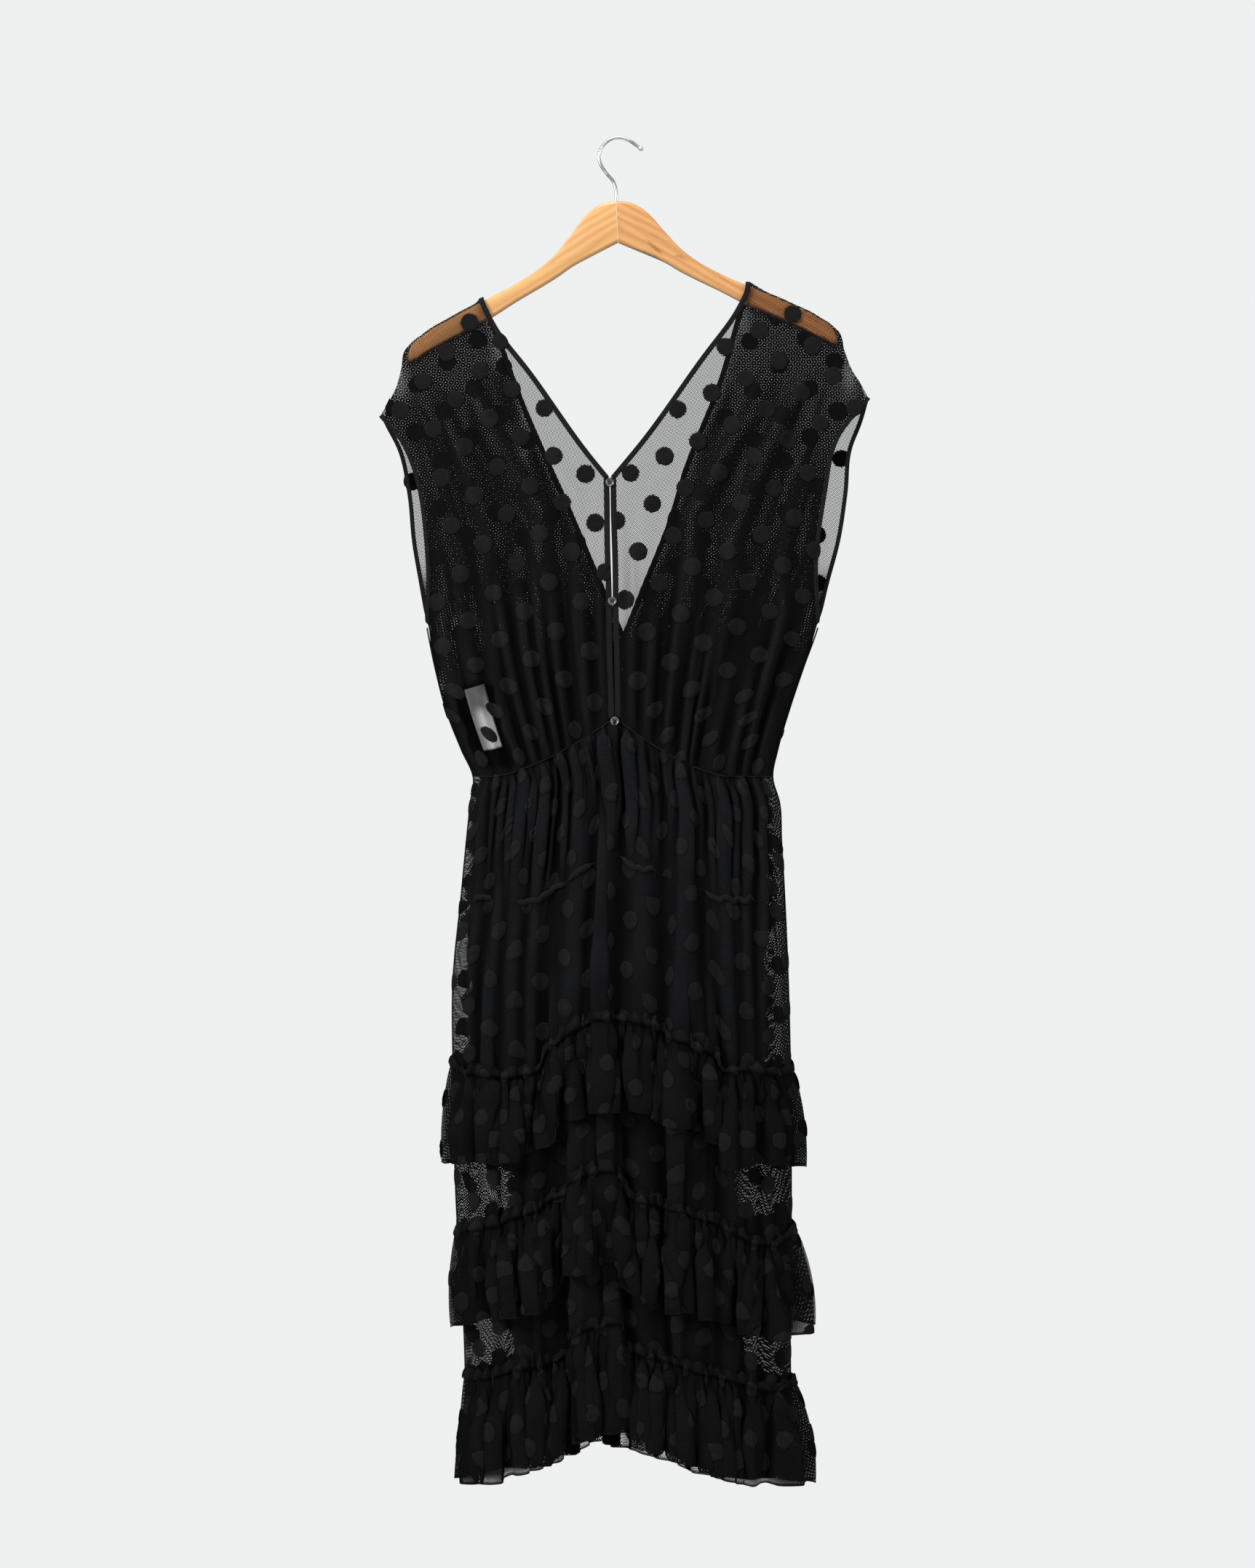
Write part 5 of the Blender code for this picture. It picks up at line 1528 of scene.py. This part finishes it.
class Cloth:
    # finds the places on a sheet that belong to points of the cloth's own measure
    def __init__(self, data, kind):
        grid = data["points"]
        self.kind = kind
        self.rows, self.columns = grid.shape[:2]
        self.flat = data["cloth"].reshape(-1, 2)
        index = np.arange(self.rows * self.columns).reshape(self.rows, self.columns)
        a, b, c, d = (part.ravel() for part in (index[:-1, :-1], index[:-1, 1:], index[1:, 1:], index[1:, :-1]))
        self.corners = np.concatenate([np.stack([a, b, c], 1), np.stack([a, c, d], 1)])
        self.tree = BVHTree.FromPolygons([(p[0], p[1], 0.0) for p in self.flat.tolist()], self.corners.tolist())
        normal = unit(np.cross(np.gradient(grid, axis=1), np.gradient(grid, axis=0)))
        normal = normal * np.where(normal[..., 1:2] * data["outward"] < 0, -1, 1)
        self.places = grid.reshape(-1, 3)
        self.normals = normal.reshape(-1, 3)
        self.ridge = data["ridge"].ravel()

    def find(self, p):
        # place, way out, share of painted fold shade and highlight, and nearest point of the grid, or None beside
        # the cloth
        hit = self.tree.ray_cast(Vector((p[0], p[1], 1.0)), Vector((0, 0, -1)))
        if hit[0] is None:
            return None
        tri = self.corners[hit[2]]
        p0, p1, p2 = self.flat[tri]
        area = (p1[0] - p0[0]) * (p2[1] - p0[1]) - (p2[0] - p0[0]) * (p1[1] - p0[1])
        if abs(area) < 1e-9:
            return None
        w1 = ((p[0] - p0[0]) * (p2[1] - p0[1]) - (p2[0] - p0[0]) * (p[1] - p0[1])) / area
        w2 = ((p1[0] - p0[0]) * (p[1] - p0[1]) - (p[0] - p0[0]) * (p1[1] - p0[1])) / area
        weights = np.array([1 - w1 - w2, w1, w2])
        return weights @ self.places[tri], weights @ self.normals[tri], weights @ self.ridge[tri], tri[0]

    def mostPast(self, found):
        row, column = divmod(found[3], self.columns)
        if row > self.rows - 5 or (row < 5 and self.kind == "ruffle"):
            return dots["pastEdge"]["seam"]
        if 3 < column < self.columns - 5 or self.kind != "bodice" or found[0][2] > dots["tapeEnds"]:
            return dots["pastEdge"]["side"]
        return dots["pastEdge"]["tape"]

    def spread(self, anchor, target):
        # the target's place, or that of the last of the cloth before it and what stands past the edge
        found = self.find(target)
        if found is not None:
            return *found[:3], 0.0
        low, high = 0.0, 1.0
        for _ in range(7):
            middle = (low + high) / 2
            if self.find(anchor + (target - anchor) * middle) is None:
                high = middle
            else:
                low = middle
        last = self.find(anchor + (target - anchor) * low)
        before = self.find(anchor + (target - anchor) * low * 0.8)
        past = min(np.linalg.norm(target - anchor) * (1 - low), self.mostPast(last))
        way = last[0] - before[0]
        length = np.linalg.norm(way)
        if length < 0.2:
            return *last[:3], 0.0
        return last[0] + way / length * past, last[1], last[2], past / dots["pastEdge"]["tape"]

    def anchorFor(self, centre, radius):
        # a spot inside a dot that is on the cloth, or None if too little of the dot is
        ring = [centre + radius * part * np.array([math.cos(a), math.sin(a)])
                for part in (0.0, 0.35, 0.7) for a in np.arange(8) * math.pi / 4]
        inside = [spot for spot in ring if self.find(spot) is not None]
        if len(inside) < dots["leastInside"]:
            return None
        anchor = inside[0] if self.find(centre) is not None else np.mean(inside, axis=0)
        return None if self.find(anchor) is None else anchor


def patternSpots(flat, origin):
    # the middles of dots over the whole cloth, in columns with every other one lower by half a step
    step = np.array([dots["columnStep"], dots["rowStep"]])
    low = (flat.min(0) - origin) / step
    high = (flat.max(0) - origin) / step
    for column in range(math.floor(low[0]), math.ceil(high[0]) + 1):
        shift = 0.5 if column % 2 else 0.0
        for row in range(math.floor(low[1] - 1), math.ceil(high[1] + 1) + 1):
            yield np.array([origin[0] + column * step[0], origin[1] + (row + shift) * step[1]])


def addDots(name, origin, seed):
    disc, discFaces = dotShape()
    rng = np.random.default_rng(seed)
    out = np.linalg.norm(disc, axis=1)
    heights = np.interp(out, *zip(*dots["rings"]))
    kind = name.split("_")[0]
    points, uvs, ridges, faces = [], [], [], []
    for data in sheets[name]:
        cloth = Cloth(data, kind)
        for centre in patternSpots(cloth.flat, origin):
            centre = centre + rng.normal(0, 0.5, 2)
            radius = dots["radius"] * rng.uniform(0.96, 1.04)
            ragged = 1 + rng.normal(0, dots["uneven"], len(disc)) * (out > 0.95)
            # a dot that a cut edge crosses keeps the part that is on the cloth
            anchor = cloth.anchorFor(centre, radius)
            if anchor is None:
                continue
            faces.extend([k + len(points) for k in f] for f in discFaces)
            for offset, rag, height in zip(disc, ragged, heights):
                target = centre + offset * radius * rag
                place, square, paintedShading, past = cloth.spread(anchor, target)
                points.append(place + square * (height + dots["overTape"] * past))
                uvs.append(target)
                # each dot takes on part of the painted fold shade and highlight where it lies
                ridges.append(paintedShading * dots["paintedShading"][kind])
    name = name.replace("_net", "_dots")
    mesh = bpy.data.meshes.new(name)
    mesh.from_pydata(inMetres(points).tolist(), [], faces)
    faceOut(mesh, data["outward"])
    writeLayers(mesh, np.array(uvs), reach=np.tile(out, len(points) // len(out)), ridge=np.array(ridges))
    return addPiece(name, mesh, materials["dots"], "black_net")


dotPieces = {name: addDots(name, *pattern) for name, pattern in dots["patterns"].items()}
for piece, _ in ruffleParts.values():
    seed = 20 + len(dotPieces)
    dotPieces[piece.name] = addDots(piece.name, (seed * 7.3 % 29, seed * 13.7 % 50), seed)
print("dots made:", sum(len(p.data.polygons) for p in dotPieces.values()), "faces")


# Seam cords: waist, hip tuck and side seams

def makeSeams():
    cords, tucks = [], []
    upwards, backwards = (0.0, 0.0, 1.0), (0.0, 1.0, 0.0)
    for front, outward in outwardOf.items():
        line = hipLines[front]
        rng = np.random.default_rng(5 if front else 6)
        shown = sum(easeIn((line[:, 0] - a) / 6 + 0.5) * easeIn((b - line[:, 0]) / 6 + 0.5)
                    for a, b in trim["hipRolls"])
        jog = softened(rng.normal(0, 3.0, len(line)), 8) + 3.5 * np.cos(line[:, 0] / 15.0) * shown
        route = line + np.stack([0 * jog, outward * (0.2 + 1.0 * shown), jog - 0.3], axis=1)
        tall, thick = trim["hipTuck"]
        sizes = np.stack([0.6 + tall * shown, 0.5 + thick * shown], axis=1)
        outline = (roundOutline(1.0, 8) * 0.5)[None] * sizes[:, None]
        tucks.append(sweep("hip", softened(route, 2), upwards, outline))
        xs = np.linspace(section("left", 655.0), section("right", 655.0), 200)
        drops = seamDrop("waist", xs, front)
        waist = np.stack([xs, outward * (depthAt(xs, drops, front) + 0.5), drops], axis=1)
        cords.append(sweep("waist", waist, upwards, roundOutline(trim["waistCord"], 8)))
    for side in signOf:
        drops = np.linspace(*trim["sideSeam"], 300)
        xs = section(side, drops)
        route = np.stack([xs, 0 * xs, drops], axis=1)
        cords.append(sweep("side", route, backwards, roundOutline(trim["seamCord"], 6)))
    addPiece("hip_tucks", joined("hip_tucks", tucks), materials["tuck"], "black_binding")
    addPiece("seam_cords", joined("seam_cords", cords), materials["tape"], "black_binding")


makeSeams()


# Stitches along the tapes and the ruffles' gathering line

stitches = {"length": 2.1, "step": 3.1, "width": 0.34, "inset": 0.75}


def stitchShape():
    shape = bmesh.new()
    bmesh.ops.create_cube(shape, size=1.0)
    for vertex in shape.verts:
        if abs(vertex.co.x) > 0.1:
            vertex.co.y *= 0.8
    bmesh.ops.triangulate(shape, faces=shape.faces)
    return shape


def stitchPlaces(route, across, offset, lift, sides):
    # one place for each stitch on a line that runs beside the middle of a tape
    tangent = unit(np.gradient(route, axis=0))
    across, out = squared(tangent, across)
    places = []
    for side in sides:
        line = route + across * offset + out * lift * side
        lengths = routeLengths(line)
        for at in np.arange(stitches["step"], lengths[-1] - stitches["step"], stitches["step"]):
            k = int(np.searchsorted(lengths, at))
            places.append((line[k], tangent[k] * stitches["length"], across[k] * stitches["width"],
                           out[k] * stitches["width"]))
    return places


def makeStitches():
    places = []
    for _, route, across, width, thickness in tapes:
        offset = width / 2 - stitches["inset"]
        for sign in (-1, 1):
            places += stitchPlaces(route, across, sign * offset, thickness / 2 + 0.05, (-1, 1))
    for (_, front), (_, row) in ruffleParts.items():
        route = softened(row, 2) + np.array([0, outwardOf[front] * 0.3, 0])
        places += stitchPlaces(route, (0.0, 0.0, 1.0), 0.0, 0.0, (1,))
    mesh = joinCopies("stitches", stitchShape(), places)
    mesh.uv_layers.new(name="clothMap")
    return addPiece("stitches", mesh, materials["thread"], "black_binding")


stitchPiece = makeStitches()
print("seams and stitches made:", len(stitchPiece.data.polygons), "faces")


# Buttons: turned discs with a raised rim, four holes and a crossed thread

button = {
    "diameter": 9.0, "thickness": 2.0, "seatGap": 0.35, "clothThickness": 1.2, "hole": 1.35, "spread": 1.5,
    "drops": (("button_top", 354.0), ("button_middle", 475.7), ("button_waist", 598.4)),
    # radius as a share, height as a share of half the thickness
    "profile": ((0.0, 0.30), (0.50, 0.32), (0.62, 0.45), (0.72, 0.88), (0.82, 1.0), (0.92, 0.86), (0.98, 0.5),
                (1.0, 0.1), (0.97, -0.45), (0.86, -0.85), (0.6, -1.0), (0.0, -1.0)),
    "threadSteps": 12, "threadRadius": 0.28, "stemSteps": 6, "stemRadius": 0.8,
}


def drilledDisc(name):
    # a turned disc with four holes, as a bmesh
    radius, half = button["diameter"] / 2, button["thickness"] / 2
    disc = spun([(r * radius, h * half) for r, h in button["profile"]], 40, 0.0005)
    bmesh.ops.recalc_face_normals(disc, faces=disc.faces)
    turned = linked(name + "_turned", asMesh(disc, name + "_turned"))
    drills = bmesh.new()
    for angle in math.pi / 4 + np.arange(4) * math.pi / 2:
        made = bmesh.ops.create_cone(drills, cap_ends=True, segments=16, radius1=button["hole"] / 2,
                                     radius2=button["hole"] / 2, depth=button["thickness"] * 2)
        shift = Vector((math.cos(angle), math.sin(angle), 0.0)) * button["spread"]
        bmesh.ops.translate(drills, verts=made["verts"], vec=shift)
    drill = linked(name + "_drill", asMesh(drills, name + "_drill"))
    cut = turned.modifiers.new("holes", "BOOLEAN")
    cut.operation = "DIFFERENCE"
    cut.object = drill
    seen = turned.evaluated_get(bpy.context.evaluated_depsgraph_get())
    work = bmesh.new()
    work.from_mesh(seen.to_mesh())
    for extra in (drill, turned):
        bpy.data.objects.remove(extra, do_unlink=True)
    return work


def makeButton(name, drop):
    radius, half = button["diameter"] / 2, button["thickness"] / 2
    work = drilledDisc(name)
    # the button lies on the cloth and leans as the cloth does
    x = float(placketX(drop))
    depth = float(depthAt(x, drop, True))
    slope = math.atan2(float(depthAt(x, drop + radius, True) - depthAt(x, drop - radius, True)), 2 * radius)
    away = depth + (button["clothThickness"] / 2 + button["seatGap"] + half)
    for vertex in work.verts:
        across, up, out = vertex.co
        vertex.co = inMetres((x + across, -away - out * math.cos(slope) - up * math.sin(slope),
                              drop - up * math.cos(slope) - out * math.sin(slope)))
    bmesh.ops.recalc_face_normals(work, faces=work.faces)
    mesh = asMesh(work, name + "_shell")
    addPiece(name + "_shell", mesh, materials["shell"], "button_shell", name)
    mesh.set_sharp_from_angle(angle=math.radians(40))
    threads = []
    steps, ends = button["threadSteps"], button["spread"] * 0.7071
    for lean in (-1, 1):
        line = np.linspace((-ends, -lean * ends), (ends, lean * ends), steps)
        out = np.full(steps, 0.30 * half + 0.22 + 0.16 * (lean > 0))
        out[[0, -1]] = -half * 0.4
        route = np.stack([x + line[:, 0], -away - out, drop - line[:, 1]], axis=1)
        threads.append(sweep("thread", route, (0.0, 1.0, 0.1), roundOutline(button["threadRadius"], 6)))
    steps = button["stemSteps"]
    inwards = np.linspace(-away + half, -depth + 0.4, steps)
    stem = np.stack([np.full(steps, x), inwards, np.full(steps, drop)], axis=1)
    threads.append(sweep("stem", stem, (1.0, 0.0, 0.0), roundOutline(button["stemRadius"], 8)))
    addPiece(name + "_thread", joined(name + "_thread", threads), materials["thread"], "black_binding")


for name, drop in button["drops"]:
    makeButton(name, drop)
print("buttons made")


# Care label: a bare woven tape inside the side seam, bowed a little away from the cloth

label = {"fromSide": 3.8, "columns": 1.8, "bodiceColumns": 16, "thickness": 0.8, "offCloth": 1.65,
         "shares": (0.775, 0.9325), "across": 14, "down": 30, "curl": 0.9, "width": 20, "length": 60}


def makeLabel():
    grid = quarters["left", False]["points"]
    v = quarters["left", False]["v"]
    # shares of the quarter's width and height that the label covers
    startU = 1 - label["fromSide"] / label["bodiceColumns"]
    uShares = np.linspace(startU, startU + label["columns"] / label["bodiceColumns"], label["across"])
    vShares = np.linspace(*label["shares"], label["down"])
    columns = uShares * (grid.shape[1] - 1)
    rows = np.interp(vShares, v, np.arange(len(v)))
    row, column = rows.astype(int)[:, None], columns.astype(int)[None, :]
    down = (rows - rows.astype(int))[:, None, None]
    aside = (columns - columns.astype(int))[None, :, None]
    points = (grid[row, column] * (1 - down) * (1 - aside) + grid[row + 1, column] * down * (1 - aside)
              + grid[row, column + 1] * (1 - down) * aside + grid[row + 1, column + 1] * down * aside)
    points = softened(points, 6)
    bend = label["curl"] * np.sin(np.linspace(0, math.pi, label["down"]))[:, None]
    points[..., 1] = points[..., 1] - label["offCloth"] - bend * np.linspace(1, 0, label["across"])[None]
    mesh = gridMesh("care_label_tape", points, -1)
    cloth = np.stack(np.meshgrid(np.linspace(0, label["width"], label["across"]),
                                 np.linspace(0, label["length"], label["down"])), axis=-1)
    paintCloth(mesh, cloth, np.ones(cloth.shape[:2]), np.ones(cloth.shape[:2]))
    piece = addPiece("care_label_tape", mesh, materials["label"], "label_tape", "care_label")
    wall = piece.modifiers.new("wall", "SOLIDIFY")
    wall.thickness = label["thickness"] * 0.001
    wall.offset = 0.0
    return piece


labelPiece = makeLabel()
print("label made")


# All the cloth is made


print("cloth made")


# Camera, light and floor

studio = {
    "cameraX": 0.0046, "cameraZ": -0.6627, "distance": 3.2, "lens": 71.4, "sensor": 36.0, "clipEnd": 50,
    "floorDrop": 1.86, "floorRadius": 1.3, "floorColour": (0.86, 0.87, 0.87, 1), "floorRoughness": 0.9,
    # how many layers of net the light may pass
    "layers": 32,
    # what the camera sees behind the dress, and how strongly the room lights it
    "wall": (0.86, 0.87, 0.87), "room": 0.32,
    # name, place, aim, size, power
    "lamps": (
        ("keyLamp", (-2.5, -2.0, 0.7), (0.0, 0.0, -0.7), 1.1, 135.0),
        ("fillLamp", (2.4, -1.6, -0.2), (0.0, 0.0, -0.8), 1.6, 42.0),
        ("topLamp", (-0.2, -0.8, 1.8), (0.0, 0.0, -0.6), 1.2, 46.0),
    ),
}


def aimed(thing, place, aim):
    thing.location = place
    thing.rotation_euler = (Vector(aim) - Vector(place)).to_track_quat("-Z", "Y").to_euler()


def makeStudio():
    scene = bpy.context.scene
    camera = linked("camera", bpy.data.cameras.new("camera"))
    camera.data.lens = studio["lens"]
    camera.data.sensor_width = studio["sensor"]
    camera.data.clip_end = studio["clipEnd"]
    x, z = studio["cameraX"], studio["cameraZ"]
    aimed(camera, (x, -studio["distance"], z), (x, 0, z))
    scene.camera = camera
    for name, place, aim, size, power in studio["lamps"]:
        lamp = linked(name, bpy.data.lights.new(name, "AREA"))
        lamp.data.size = size
        lamp.data.energy = power
        aimed(lamp, place, aim)
    world = bpy.data.worlds.new("studioWorld")
    world.use_nodes = True
    n = Nodes(world.node_tree)
    seen = n.add("ShaderNodeLightPath").outputs["Is Camera Ray"]
    background = n.tree.nodes["Background"]
    background.inputs["Color"].default_value = (*studio["wall"], 1)
    n.put(background.inputs["Strength"], n.spread(seen, 0.0, 1.0, studio["room"], 1.0))
    scene.world = world
    scene.view_settings.view_transform = "Standard"
    disc = bmesh.new()
    bmesh.ops.create_circle(disc, cap_ends=True, segments=96, radius=studio["floorRadius"])
    bmesh.ops.translate(disc, verts=disc.verts, vec=(0, 0, -studio["floorDrop"]))
    floor = linked("floor", asMesh(disc, "floor"))
    material, _, shader = startMaterial("paleFloor")
    shader["Base Color"].default_value = studio["floorColour"]
    shader["Roughness"].default_value = studio["floorRoughness"]
    floor.data.materials.append(material)
    scene.cycles.transparent_max_bounces = studio["layers"]


makeStudio()
